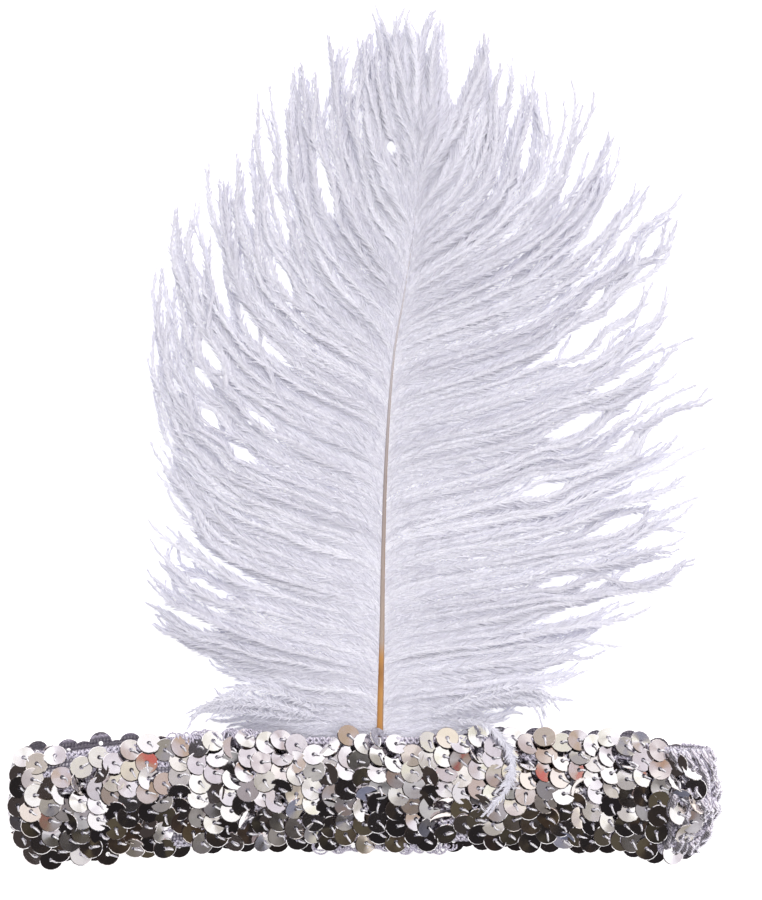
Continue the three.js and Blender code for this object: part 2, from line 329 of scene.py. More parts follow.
def tubes(
    paths: Array, wide: Array, deep: Array, sides: int, roll: Array | float = 0.0
) -> tuple[Array, Array]:
    """Closed tubes, round or flat, along many paths of equally many points.

    Args:
        paths: Points of each path.
        wide: Half of the tube's level width at each point.
        deep: Half of its depth at each point.
        sides: Sides of the tube.
        roll: How far each tube is rolled about its path.

    Returns:
        Points and triangles.
    """
    count, steps = paths.shape[:2]
    side, rise = rolled(unit(np.gradient(paths, axis=1)), roll)
    turns = 2 * np.pi * np.arange(sides) / sides
    spoke = np.cos(turns)[:, None] * (wide[..., None] * side)[:, :, None]
    spoke = spoke + np.sin(turns)[:, None] * (deep[..., None] * rise)[:, :, None]
    points = paths[:, :, None] + spoke
    ring = np.arange(sides)
    after = (ring + 1) % sides
    step = np.arange(steps - 1)[:, None] * sides
    low = np.stack([step + ring, step + after, step + sides + after], axis=-1)
    high = np.stack([step + ring, step + sides + after, step + sides + ring], axis=-1)
    fan = np.arange(1, sides - 1)
    foot = np.stack([0 * fan, fan + 1, fan], axis=-1)
    tip = np.stack([0 * fan, fan, fan + 1], axis=-1) + (steps - 1) * sides
    one = np.concatenate([low.reshape(-1, 3), high.reshape(-1, 3), foot, tip])
    faces = one + (np.arange(count) * steps * sides)[:, None, None]
    return points.reshape(-1, 3), faces.reshape(-1, 3)


def blades(
    feet: Array, tips: Array, half: float, deep: float, roll: Array
) -> tuple[Array, Array]:
    """Closed flat blades, for filaments too fine to need more: a broad face over two narrow ones.

    Args:
        feet: The middle of each blade's foot.
        tips: Each blade's point.
        half: Half of the foot's width.
        deep: The foot's depth.
        roll: How far each blade is rolled about its line.

    Returns:
        Points and triangles.
    """
    side, rise = rolled(unit(tips - feet), roll)
    points = np.stack([feet + half * side, feet - half * side, feet - deep * rise, tips], axis=1)
    one = np.array([[0, 3, 1], [0, 2, 3], [1, 3, 2], [0, 1, 2]])
    faces = one + (BLADE_POINTS * np.arange(len(feet)))[:, None, None]
    return points.reshape(-1, 3), faces.reshape(-1, 3)


@dataclass(frozen=True)
class FoilFinish:
    """Metallised polyester film, stamped into flat sequins: a bright mirror with faint waves."""

    silver: str = "e6e3e6"
    warm: str = "d8cdc6"
    warm_from: float = 0.7
    roughness: float = 0.09
    wave_mm: float = 2.2
    wave_height_mm: float = 0.006

    def material(self) -> bpy.types.Material:
        """Makes the film's material; each sequin's tone moves it a little from silver to warmer grey.

        Returns:
            The material.
        """
        material, tree, shader = new_material("metallised_polyester_film")
        tone = add_node(tree, "ShaderNodeAttribute", attribute_name="tone")
        tones = [(0.0, self.silver), (self.warm_from, self.silver), (1.0, self.warm)]
        ramp = add_node(tree, "ShaderNodeValToRGB", {"Fac": tone.outputs["Fac"]}, tones)
        place = add_node(tree, "ShaderNodeTexCoord")
        noise = {"Vector": place.outputs["Object"], "Scale": 1 / (self.wave_mm * METRES), "Detail": 1.0}
        waves = add_node(tree, "ShaderNodeTexNoise", noise)
        relief = {"Height": waves.outputs["Fac"], "Distance": self.wave_height_mm * METRES, "Strength": 1.0}
        bump = add_node(tree, "ShaderNodeBump", relief)
        wire(tree, shader, {"Base Color": ramp.outputs["Color"], "Normal": bump.outputs["Normal"]})
        wire(tree, shader, {"Metallic": 1.0, "Roughness": self.roughness})
        return material


@dataclass(frozen=True)
class ThreadFinish:
    """Spun polyester sewing thread: soft sheen, with the twist of its plies, drawn coarser than real."""

    name: str
    light: str
    dark: str
    metallic: float = 0.0
    roughness: float = 0.5
    sheen: float = 0.3
    ply_mm: float = 0.45
    ply_waver: float = 1.5
    light_from: float = 0.6

    def material(self) -> bpy.types.Material:
        """Makes the thread's material, with plies drawn as slanted bands.

        Returns:
            The material.
        """
        material, tree, shader = new_material(self.name)
        place = add_node(tree, "ShaderNodeTexCoord")
        bands = {
            "Vector": place.outputs["Object"],
            "Scale": WAVE_BANDS / (self.ply_mm * METRES),
            "Distortion": self.ply_waver,
        }
        plies = add_node(tree, "ShaderNodeTexWave", bands, bands_direction="DIAGONAL")
        tones = [(0.0, self.dark), (self.light_from, self.light)]
        ramp = add_node(tree, "ShaderNodeValToRGB", {"Fac": plies.outputs["Fac"]}, tones)
        wire(tree, shader, {"Base Color": ramp.outputs["Color"], "Roughness": self.roughness})
        wire(tree, shader, {"Metallic": self.metallic, "Sheen Weight": self.sheen})
        return material


@dataclass(frozen=True)
class KnitFinish:
    """Warp-knitted elastic with a metallic thread: lilac-grey ribs with fine silver stitches."""

    groove: str = "6d6977"
    rib: str = "b9b4c3"
    rib_from: float = 0.35
    silver: str = "e4e1e8"
    silver_from: float = 0.8
    rib_mm: float = 1.0
    rib_waver: float = 0.6
    stitch_mm: float = 0.9
    stitch_waver: float = 1.4
    relief_mm: float = 0.15
    relief_strength: float = 0.8
    roughness: float = 0.5
    metallic: float = 0.25
    sheen: float = 0.2

    def material(self) -> bpy.types.Material:
        """Makes the elastic's material, drawn along the band's own UV map in millimetres.

        Returns:
            The material.
        """
        material, tree, shader = new_material("knitted_elastic")
        cloth = add_node(tree, "ShaderNodeUVMap", uv_map="band")
        waves = {}
        across = ("Y", self.rib_mm, self.rib_waver)
        along = ("X", self.stitch_mm, self.stitch_waver)
        for number, (direction, pitch, waver) in enumerate((across, along)):
            bands = {"Vector": cloth.outputs["UV"], "Scale": WAVE_BANDS / pitch, "Distortion": waver}
            wave = add_node(tree, "ShaderNodeTexWave", bands, bands_direction=direction)
            waves[number] = wave.outputs["Fac"]
        loops = add_node(tree, "ShaderNodeMath", waves, operation="MULTIPLY")
        tones = [(0.0, self.groove), (self.rib_from, self.rib), (self.silver_from, self.silver)]
        ramp = add_node(tree, "ShaderNodeValToRGB", {"Fac": loops.outputs["Value"]}, tones)
        relief = {
            "Height": loops.outputs["Value"],
            "Distance": self.relief_mm * METRES,
            "Strength": self.relief_strength,
        }
        bump = add_node(tree, "ShaderNodeBump", relief)
        wire(tree, shader, {"Base Color": ramp.outputs["Color"], "Normal": bump.outputs["Normal"]})
        wire(tree, shader, {"Roughness": self.roughness, "Metallic": self.metallic})
        wire(tree, shader, {"Sheen Weight": self.sheen})
        return material


@dataclass(frozen=True)
class HornFinish:
    """Feather keratin: a satin shaft, honey tan where it is bare and pale grey above.

    Attributes:
        shades: The colour at heights up the plume, in millimetres.
        top_mm: The height of the quill's tip.
        painted_shade: The darker colour painted on its right flank as shade.
        painted_shade_facing: How far to the right a face looks where the painted shade starts and is full.
        painted_shade_share: How much of the painted shade a face takes at most.
        roughness: How satin the shaft is.
        coat: How much gloss lies over it.
    """

    shades: Stops = (
        (-10.0, "b8762f"),
        (27.5, "c58f50"),
        (32.5, "a8743f"),
        (36.5, "c58f50"),
        (40.5, "b5a397"),
        (81.5, "a99c9a"),
        (136.4, "d9d5dd"),
    )
    top_mm: float = 173.0
    painted_shade: str = "93765f"
    painted_shade_facing: Span = (0.25, 0.9)
    painted_shade_share: float = 0.75
    roughness: float = 0.38
    coat: float = 0.15

    def material(self) -> bpy.types.Material:
        """Makes the quill's material: tan to grey up its length, with painted shade on its right flank.

        Returns:
            The material.
        """
        material, tree, shader = new_material("feather_keratin")
        place = add_node(tree, "ShaderNodeTexCoord")
        parts = add_node(tree, "ShaderNodeSeparateXYZ", {"Vector": place.outputs["Object"]})
        foot = self.shades[0][0]
        length = {"Value": parts.outputs["Y"], "From Min": foot * METRES, "From Max": self.top_mm * METRES}
        up = add_node(tree, "ShaderNodeMapRange", length)
        stops = [((height - foot) / (self.top_mm - foot), shade) for height, shade in self.shades]
        tan = add_node(tree, "ShaderNodeValToRGB", {"Fac": up.outputs["Result"]}, stops)
        # Painted shade: faces that look to the right take a darker colour, as shade on that side.
        facing = add_node(tree, "ShaderNodeSeparateXYZ", {"Vector": place.outputs["Normal"]})
        start, full = self.painted_shade_facing
        turned = {
            "Value": facing.outputs["X"],
            "From Min": start,
            "From Max": full,
            "To Max": self.painted_shade_share,
        }
        right = add_node(tree, "ShaderNodeMapRange", turned)
        # Mixes the painted shade into the quill's own tan-to-grey colour.
        painted_shade_mix = {
            MIX_SHARE: right.outputs["Result"],
            MIX_FIRST: tan.outputs["Color"],
            MIX_SECOND: linear(self.painted_shade),
        }
        colour = add_node(tree, "ShaderNodeMix", painted_shade_mix, data_type="RGBA")
        wire(tree, shader, {"Base Color": colour.outputs[MIX_RESULT], "Roughness": self.roughness})
        wire(tree, shader, {"Coat Weight": self.coat})
        return material


@dataclass(frozen=True)
class BarbFinish:
    """Bleached ostrich barbs: soft, matt and white with a lilac cast in the shade."""

    shade: str = "cccbda"
    shade_to: float = 0.2
    light: str = "f5f5ff"
    light_from: float = 0.95
    barbule_mm: float = 0.9
    barbule_detail: float = 2.0
    barbule_share: float = 0.7
    relief_mm: float = 0.12
    relief_strength: float = 0.6
    roughness: float = 0.75
    specular: float = 0.2
    sheen: float = 0.2

    def material(self) -> bpy.types.Material:
        """Makes the barbs' material: each has its own tone and streaks, drawn coarse enough to show.

        Returns:
            The material.
        """
        material, tree, shader = new_material("ostrich_barbs")
        tone = add_node(tree, "ShaderNodeAttribute", attribute_name="tone")
        barbule = add_node(tree, "ShaderNodeAttribute", attribute_name="barbule")
        noise = {
            "W": barbule.outputs["Fac"],
            "Scale": 1 / self.barbule_mm,
            "Detail": self.barbule_detail,
        }
        hairs = add_node(tree, "ShaderNodeTexNoise", noise, noise_dimensions="1D")
        sums = {0: hairs.outputs["Fac"], 1: self.barbule_share, 2: tone.outputs["Fac"]}
        mixed = add_node(tree, "ShaderNodeMath", sums, operation="MULTIPLY_ADD")
        tones = [(self.shade_to, self.shade), (self.light_from, self.light)]
        ramp = add_node(tree, "ShaderNodeValToRGB", {"Fac": mixed.outputs["Value"]}, tones)
        relief = {
            "Height": hairs.outputs["Fac"],
            "Distance": self.relief_mm * METRES,
            "Strength": self.relief_strength,
        }
        bump = add_node(tree, "ShaderNodeBump", relief)
        wire(tree, shader, {"Base Color": ramp.outputs["Color"], "Normal": bump.outputs["Normal"]})
        wire(tree, shader, {"Roughness": self.roughness, "Specular IOR Level": self.specular})
        wire(tree, shader, {"Sheen Weight": self.sheen})
        return material


@dataclass(frozen=True)
class BandForm:
    """The flattened loop: where a point along it, up it and outside its hollow lies."""

    flat_length: float = 182.0
    width: float = 26.0
    wall: float = 1.2
    hollow: float = 10.0
    crown: float = 2.6
    gap: float = 0.3
    backing: float = 1.2
    back_depth: float = 1.3
    field_half: float = 15.65
    corner_start: float = 50.0
    corner_lower: float = 8.0
    corner_upper: float = 2.0
    lie_across: tuple[float, ...] = (-91, -55, -25, -10, 12, 45, 63, 82, 91)
    lie_drop: tuple[float, ...] = (2.2, -1.0, -2.7, -2.9, -2.9, -2.9, -2.6, -0.2, 0.2)
    lie_sag: tuple[float, ...] = (0, 0.9, 0.6, 0, 0, 1.0, 0.8, 0.2, 0)

    @property
    def backing_out(self) -> float:
        """How far outside the hollow the sequins' backing ends."""
        return self.wall + self.gap + self.backing

    @property
    def end_radius(self) -> float:
        """The radius of the hollow's round ends."""
        return self.hollow / 2

    @property
    def bend_radius(self) -> float:
        """The radius at which sequins go round the ends."""
        return self.end_radius + self.backing_out

    @property
    def end_centre(self) -> float:
        """How far the centre of each round end is from the middle."""
        return self.flat_length / 2 - self.bend_radius

    @property
    def mid_height(self) -> float:
        """The height of the hollow's middle above the table."""
        return self.back_depth + self.gap + self.wall + self.end_radius

    @property
    def front_run(self) -> float:
        """Half of the run over the upper layer and round both ends."""
        return self.end_centre + math.pi * self.bend_radius

    @property
    def half_run(self) -> float:
        """Half of the way round the loop."""
        return self.front_run + self.end_centre

    def lie(self, column: Sequence[float], across: Array) -> Array:
        """Reads how the band lies, with a smooth step from each row of the table to the next.

        Args:
            column: The drop or the sag at each place of lie_across.
            across: Places along X.

        Returns:
            The value at each place.
        """
        places = np.array(self.lie_across)
        inside = np.clip(across, places[0], places[-1])
        span = np.clip(np.searchsorted(places, inside, side="right") - 1, 0, len(places) - 2)
        share = (inside - places[span]) / (places[span + 1] - places[span])
        values = np.array(column, dtype=float)
        return values[span] + (values[span + 1] - values[span]) * share * share * (3 - 2 * share)

    def turn(self, along: Array) -> Array:
        """How far round an end a place along the loop is, from 0 on top to pi underneath."""
        return np.clip((np.abs(along) - self.end_centre) / self.bend_radius, 0.0, math.pi)

    def place(self, along: Array, up: Array, outside: Array) -> Array:
        """Puts points on the loop.

        Args:
            along: The way round from the middle of the upper layer, to the right where positive.
            up: The place across the band.
            outside: The distance outside the hollow's face.

        Returns:
            Points in millimetres.
        """
        reach = np.abs(along)
        turn = self.turn(along)
        under = np.maximum(0.0, reach - self.front_run)
        flat = np.minimum(reach, self.end_centre) - under
        radius = self.end_radius + outside
        across = np.sign(along) * (flat + radius * np.sin(turn))
        level = np.sign(along) * np.minimum(reach, self.end_centre)
        fall = self.lie(self.lie_sag, level) + self.crown * (up / (self.width / 2)) ** 2
        height = self.mid_height + radius * np.cos(turn) - np.maximum(0.0, np.cos(turn)) * fall
        corner = np.where(up < 0, self.corner_lower, self.corner_upper) * (up / self.field_half) ** 2
        near = ease(self.corner_start, self.flat_length / 2, np.abs(across))
        drop = self.lie(self.lie_drop, across)
        return np.stack([across - np.sign(across) * corner * near, up - drop, height], axis=-1)

    def axes(self, along: Array, up: Array, outside: Array) -> Array:
        """Directions along, up and out of the loop at each point.

        Args:
            along: The way round the loop.
            up: The place across the band.
            outside: The distance outside the hollow's face.

        Returns:
            Three unit rows for each point.
        """
        step = 0.05
        forward = unit(self.place(along + step, up, outside) - self.place(along - step, up, outside))
        upward = self.place(along, up + step, outside) - self.place(along, up - step, outside)
        out = unit(np.cross(forward, upward))
        return np.stack([forward, np.cross(out, forward), out], axis=1)


@dataclass
class ElasticLoop:
    """The knitted elastic strip, sewn into a loop, with its ribs."""

    form: BandForm
    steps_along: int = 230
    ribs: int = 26
    rib_height: float = 0.16
    weld: float = 0.01
    crease: float = 50.0

    def build(self) -> Piece:
        """Models the strip as a grid laid round the loop, then gives it its thickness.

        Returns:
            The finished loop.
        """
        deselect_all()
        across = 2 * self.ribs
        bpy.ops.mesh.primitive_grid_add(x_subdivisions=self.steps_along, y_subdivisions=across, size=2)
        piece = bpy.context.object
        piece.name = "elastic_loop"
        mesh = piece.data
        grid = np.empty(len(mesh.vertices) * 3, dtype=np.float32)
        mesh.vertices.foreach_get("co", grid)
        grid = grid.reshape(-1, 3)
        along = grid[:, 0] * self.form.half_run
        up = grid[:, 1] * self.form.width / 2
        ridge = self.rib_height * np.cos(2 * np.pi * self.ribs * (grid[:, 1] + 1) / 2)
        points = self.form.place(along, up, self.form.wall / 2 + ridge / 2)
        mesh.vertices.foreach_set("co", (points * METRES).astype(np.float32).ravel())
        self.unwrap(mesh, along, up)
        bpy.ops.object.mode_set(mode="EDIT")
        bpy.ops.mesh.select_all(action="SELECT")
        bpy.ops.mesh.remove_doubles(threshold=self.weld * METRES)
        bpy.ops.object.mode_set(mode="OBJECT")
        solid = piece.modifiers.new("wall", "SOLIDIFY")
        solid.thickness = (self.form.wall - self.rib_height) * METRES
        solid.offset = 0.0
        bpy.ops.object.modifier_apply(modifier=solid.name)
        bpy.ops.object.shade_smooth_by_angle(angle=math.radians(self.crease))
        return piece

    @staticmethod
    def unwrap(mesh: bpy.types.Mesh, along: Array, up: Array) -> None:
        """Gives the strip a UV map in millimetres.

        Args:
            mesh: The strip's mesh.
            along: The way round the loop of each vertex.
            up: Each vertex's place across the band.
        """
        corners = np.empty(len(mesh.loops), dtype=np.int32)
        mesh.loops.foreach_get("vertex_index", corners)
        layer = mesh.uv_layers[0]
        layer.name = "band"
        layer.data.foreach_set("uv", np.stack([along, up], axis=-1)[corners].astype(np.float32).ravel())

    def dress(self, piece: Piece) -> None:
        """Args:
            piece: The finished loop.
        """
        fit_piece(piece, "elastic_band", KnitFinish().material())


@dataclass(frozen=True)
class LaidSequins:
    """Sequins where they lie.

    Attributes:
        middles: Their middles.
        turns: Their three directions, as columns.
        free: How free each one is to stand up, from 0 where the table presses it.
    """

    middles: Array
    turns: Array
    free: Array


@dataclass
class SequinField:
    """Lapped rows of sewn sequins, with the thread that holds each one and the braids under them.

    Stitches are drawn a little thicker than real thread, so that they show. The stitch table gives, at
    places along a stitch, its reach, how far it bows aside, how high it stands and how thick it is. The
    frayed table gives, for each bunch of loose loops, where it starts and ends along the band, the edge
    that it hangs from and how many loops it has.
    """

    form: BandForm
    diameter: float = 6.0
    thickness: float = 0.16
    rim: float = 0.17
    hole: float = 1.15
    sides: int = 16
    crease: float = 30.0
    rows: int = 7
    row_pitch: float = 4.1
    row_shift: float = 0.45
    column_pitch: float = 4.2
    zigzag: float = 0.8
    stray_along: float = 0.42
    stray_up: float = 0.336
    stand: float = 2.6
    lean_along: float = 8.0
    lean_up: float = 7.0
    tilt_spread: float = 8.5
    tilt_most: float = 2.0
    warp: float = 0.005
    wild_share: float = 0.2
    wild_spread: float = 13.0
    lost_share: float = 0.03
    bare_edge: Span = (-77.0, -57.0)
    bare_share: float = 0.7
    seam: float = 77.0
    seam_end: float = 85.0
    seam_lost: float = 0.35
    seam_spread: float = 22.0
    back_shift: float = 1.7
    back_shows: Span = (-64.0, -54.0)
    pressed_turn: float = 2.6
    pressed_stand: float = 2.4
    pressed_lean: float = 3.4
    pressed_spread: float = 0.7
    thread_sides: int = 5
    thread_radius: float = 0.27
    thread_pressed: float = 0.5
    thread_turn: float = -34.0
    thread_spread: float = 26.0
    stitch: tuple[tuple[float, float, float, float], ...] = (
        (0.08, 0.0, -0.25, 0.8),
        (0.12, 0.0, 0.26, 1.0),
        (0.45, 0.7, 0.42, 1.0),
        (0.8, 0.6, 0.3, 0.85),
        (1.0, 0.0, -0.1, 0.6),
    )
    stitch_reach: float = 2.5
    stitch_lengths: Span = (0.65, 1.15)
    stitch_bow: float = 0.35
    stitch_pressed: float = 0.3
    braid_radius: float = 0.42
    braid_pitch: float = 3.2
    braid_swing: float = 0.75
    braid_step: float = 0.7
    braid_lift: float = 1.1
    braid_cross: float = 0.8
    frayed: tuple[tuple[float, float, float, int], ...] = (
        (-12.0, 23.0, -1.0, 46),
        (-49.0, -26.0, 1.0, 34),
    )
    loop_arc: Span = (-0.15, 1.15)
    loop_points: int = 9
    loop_widths: Span = (0.8, 2.2)
    loop_depths: Span = (0.4, 2.2)
    loop_past_edge: float = 1.2
    loop_rise: float = 1.2
    loop_twist: float = 0.4
    loop_thickness: float = 0.6
    fold_pitch: float = 2.1
    fold_run: Span = (-4.0, 15.0)
    fold_points: int = 30
    fold_sides: int = 6
    fold_sway: float = 1.2
    fold_sway_pitch: Span = (1.6, 3.4)
    fold_ripple: float = 0.7
    fold_ripple_pitch: Span = (0.9, 2.0)
    fold_stand: float = 0.5
    fold_half: float = 1.0
    fold_spread: float = 0.45
    fold_depth: float = 0.9
    seed: int = 11

    def model_one(self) -> tuple[Array, Array]:
        """Models one sequin: a thin disc with a bevelled rim and a hole.

        Returns:
            Its points in millimetres and its four-sided faces.
        """
        deselect_all()
        radius = self.diameter / 2
        top = radius - self.rim
        bpy.ops.mesh.primitive_cone_add(
            vertices=self.sides, radius1=radius, radius2=top, depth=self.thickness, end_fill_type="NGON"
        )
        disc = bpy.context.object
        bpy.ops.object.mode_set(mode="EDIT")
        for normal_z, ring in ((1.0, top), (-1.0, radius)):
            select_faces(disc.data, normal_z)
            bpy.ops.mesh.inset(thickness=(ring - self.hole / 2) * math.cos(math.pi / self.sides))
        bpy.ops.object.mode_set(mode="OBJECT")
        for polygon in disc.data.polygons:
            polygon.select = len(polygon.vertices) > 4
        bpy.ops.object.mode_set(mode="EDIT")
        bpy.ops.mesh.bridge_edge_loops()
        bpy.ops.object.mode_set(mode="OBJECT")
        points = np.array([vertex.co for vertex in disc.data.vertices])
        faces = np.array([polygon.vertices for polygon in disc.data.polygons])
        bpy.data.objects.remove(disc)
        return points, faces

    def row_places(self) -> Array:
        """The place of each row across the band."""
        return (np.arange(self.rows) - (self.rows - 1) / 2) * self.row_pitch + self.row_shift

    def stations(self, layer: Layer) -> tuple[Array, Array]:
        """Where the sequins of a layer are sewn, row by row in a zigzag.

        Args:
            layer: The front with both ends, or the back.

        Returns:
            The way round the loop and the place across the band of each sequin.
        """
        last = int(self.form.half_run / self.column_pitch)
        columns = np.arange(-last, last + 1)
        on_front = np.abs(columns * self.column_pitch) <= self.form.front_run
        columns = columns[on_front if layer is Layer.FRONT else ~on_front]
        along = np.repeat(columns * self.column_pitch, self.rows)
        zigzag = np.where(columns % 2 == 0, -self.zigzag, self.zigzag)
        up = np.tile(self.row_places(), len(columns)) + np.repeat(zigzag, self.rows)
        return along.astype(float), up

    def lay(self, layer: Layer) -> LaidSequins:
        """Finds where each sequin of a layer lies and how it leans; a few are lost.

        Args:
            layer: The front with both ends, or the back.

        Returns:
            The sequins.
        """
        chance = np.random.default_rng(self.seed + len(layer.value))
        along, up = self.stations(layer)
        count = len(along)
        along = along + self.stray_along * chance.normal(size=count)
        up = up + self.stray_up * chance.normal(size=count)
        if layer is Layer.BACK:
            across = self.form.place(along, up, np.zeros(count))[:, 0]
            up = up - self.back_shift * ease(*self.back_shows, across)
        pressed = ease(math.pi / 2, self.pressed_turn, self.form.turn(along))
        free = 1.0 - pressed
        stand = self.stand * free + self.pressed_stand * pressed
        middles = self.form.place(along, up, stand)
        across = middles[:, 0]
        on_top = free > 0.5
        in_seam = (across > self.seam) & on_top
        wild = np.where(chance.random(count) < self.wild_share, self.wild_spread, 0.0)
        wild = np.where(in_seam, self.seam_spread, wild)
        spread = (self.tilt_spread + wild) * free + self.pressed_spread * pressed
        forward, upward, out = np.moveaxis(self.form.axes(along, up, stand), 1, 0)
        lean = out
        for direction, own_lean in ((forward, self.lean_along), (upward, self.lean_up)):
            angle = own_lean * free + self.pressed_lean * pressed
            angle = angle + spread * np.clip(chance.normal(size=count), -self.tilt_most, self.tilt_most)
            lean = lean + np.tan(np.radians(angle))[:, None] * direction
        lean = unit(lean)
        level = unit(forward - np.sum(forward * lean, axis=1, keepdims=True) * lean)
        turns = np.stack([level, np.cross(lean, level), lean], axis=2)
        top_row = up > self.row_places()[-1] - self.row_pitch / 2
        bare = top_row & (across > self.bare_edge[0]) & (across < self.bare_edge[1])
        under_seam = top_row & (across > self.seam) & ~on_top
        lost = np.where(in_seam, self.seam_lost, np.where(bare, self.bare_share, self.lost_share))
        lost = np.where((across > self.seam_end) | under_seam, 1.0, lost)
        kept = (chance.random(count) > lost) | (layer is Layer.BACK)
        return LaidSequins(middles[kept], turns[kept], free[kept])

    def copy_out(self, layer: Layer, laid: LaidSequins) -> Piece:
        """Copies the one sequin to every place of a layer, each bent a little in its own way.

        Args:
            layer: The layer.
            laid: Its sequins' places.

        Returns:
            The sequins.
        """
        chance = np.random.default_rng(self.seed)
        one, one_faces = self.model_one()
        count = len(laid.middles)
        fold = chance.uniform(0.0, math.pi, (count, 1))
        across = np.cos(fold) * one[:, 0] + np.sin(fold) * one[:, 1]
        warped = np.tile(one, (count, 1, 1))
        warped[..., 2] += self.warp * chance.normal(size=(count, 1)) * laid.free[:, None] * across**2
        points = np.einsum("nij,nvj->nvi", laid.turns, warped) + laid.middles[:, None]
        faces = one_faces + (np.arange(count) * len(one))[:, None, None]
        points = above_table(points).reshape(-1, 3)
        sequins = new_piece(f"{layer.value}_discs", points, faces.reshape(-1, faces.shape[-1]))
        sequins.data.set_sharp_from_angle(angle=math.radians(self.crease))
        set_shade(sequins, "tone", np.repeat(chance.random(count), len(one)))
        return sequins

    def thread(self, name: str, paths: Array, radii: Array) -> Piece:
        """Makes round threads.

        Args:
            name: The piece's name.
            paths: Points of each thread.
            radii: The thread's radius at each point.

        Returns:
            The threads.
        """
        points, faces = tubes(paths, radii, radii, self.thread_sides)
        return new_piece(name, above_table(points), faces)

    def sew(self, layer: Layer, laid: LaidSequins) -> Piece:
        """Runs a stitch from each hole over the sequin's edge.

        Args:
            layer: The layer.
            laid: Its sequins' places.

        Returns:
            The stitches.
        """
        chance = np.random.default_rng(self.seed + 1)
        count = len(laid.middles)
        reach, bow, lift, taper = np.transpose(self.stitch)
        angle = np.radians(self.thread_turn + self.thread_spread * chance.normal(size=count))
        reach = reach[:, None] * self.stitch_reach * chance.uniform(*self.stitch_lengths, (count, 1, 1))
        bow = bow[:, None] * self.stitch_bow * chance.normal(size=(count, 1, 1))
        lift = lift * grown(self.stitch_pressed, laid.free)[:, None]
        forward, aside, out = np.moveaxis(laid.turns, 2, 0)
        run = np.cos(angle)[:, None] * forward + np.sin(angle)[:, None] * aside
        paths = laid.middles[:, None] + reach * run[:, None] + bow * np.cross(out, run)[:, None]
        paths = paths + lift[..., None] * out[:, None]
        radii = self.thread_radius * grown(self.thread_pressed, laid.free)[:, None] * taper
        return self.thread(f"{layer.value}_stitches", paths, radii)

    def braid(self) -> Piece:
        """Lays two crossing threads under each row of the front, which show where sequins part.

        Returns:
            The braids.
        """
        along = np.arange(-self.form.front_run, self.form.front_run, self.braid_step)
        paths = []
        for row in self.row_places():
            for phase in (0.0, math.pi):
                swing = 2 * np.pi * along / self.braid_pitch + phase
                up = row + self.braid_swing * np.sin(swing)
                lift = self.braid_lift + self.braid_cross * np.cos(2 * swing + phase)
                paths.append(self.form.place(along, up, self.form.wall + self.braid_radius * lift))
        radii = np.full((len(paths), len(along)), self.braid_radius)
        return self.thread("row_braids", np.array(paths), radii)

    def fray(self) -> Piece:
        """Hangs loose loops of thread from the band's edges where its rows are sewn off.

        Returns:
            The loops.
        """
        chance = np.random.default_rng(self.seed + 3)
        turn = np.linspace(*self.loop_arc, self.loop_points) * np.pi
        paths = []
        for start, end, edge, loops in self.frayed:
            middle = chance.uniform(start, end, (loops, 1))
            width = chance.uniform(*self.loop_widths, (loops, 1))
            depth = chance.uniform(*self.loop_depths, (loops, 1))
            along = middle + width * np.cos(turn)
            up = edge * (self.form.width / 2 + self.loop_past_edge + depth * np.sin(turn))
            rise = chance.uniform(0.0, self.loop_rise, (loops, 1)) + self.loop_twist * np.sin(2 * turn)
            paths.append(self.form.place(along, up, self.form.wall + rise))
        lines = np.concatenate(paths)
        radii = np.full(lines.shape[:2], self.loop_thickness * self.braid_radius)
        return self.thread("frayed_loops", lines, radii)

    def gather(self) -> Piece:
        """Crumples the elastic across the band where the loop is sewn together, at its right end.

        Returns:
            The folds.
        """
        chance = np.random.default_rng(self.seed + 2)
        starts = self.form.end_centre + np.arange(*self.fold_run, self.fold_pitch)
        up = np.linspace(-self.form.width / 2, self.form.width / 2, self.fold_points)
        paths = []
        for start in starts:
            sway, ripple = (
                size * np.sin(up / chance.uniform(*pitch) + chance.uniform(0, FULL_TURN))
                for size, pitch in (
                    (self.fold_sway, self.fold_sway_pitch),
                    (self.fold_ripple, self.fold_ripple_pitch),
                )
            )
            paths.append(self.form.place(start + sway, up, self.form.wall + self.fold_stand + ripple))
        wide = chance.normal(size=(len(paths), len(up))).clip(-1, 1)
        wide = self.fold_half + self.fold_spread * wide
        points, faces = tubes(np.array(paths), wide, self.fold_depth * wide, self.fold_sides)
        return new_piece("seam_folds", points, faces)

    def dress(self) -> None:
        """Builds both layers and gives them their finishes."""
        foil = FoilFinish().material()
        thread = ThreadFinish("white_polyester_thread", "fbfaff", "cfcbd9").material()
        lilac = ThreadFinish("lilac_polyester_thread", "e2dded", "9b95aa").material()
        yarn = ThreadFinish("silver_yarn_cloth", "e9e6f2", "a29dae", metallic=0.8, roughness=0.22)
        for layer in Layer:
            laid = self.lay(layer)
            fit_piece(self.copy_out(layer, laid), layer.value, foil)
            fit_piece(self.sew(layer, laid), layer.value, thread)
        fit_piece(self.braid(), Layer.FRONT.value, lilac)
        fit_piece(self.fray(), Layer.FRONT.value, lilac)
        fit_piece(self.gather(), Layer.FRONT.value, yarn.material())


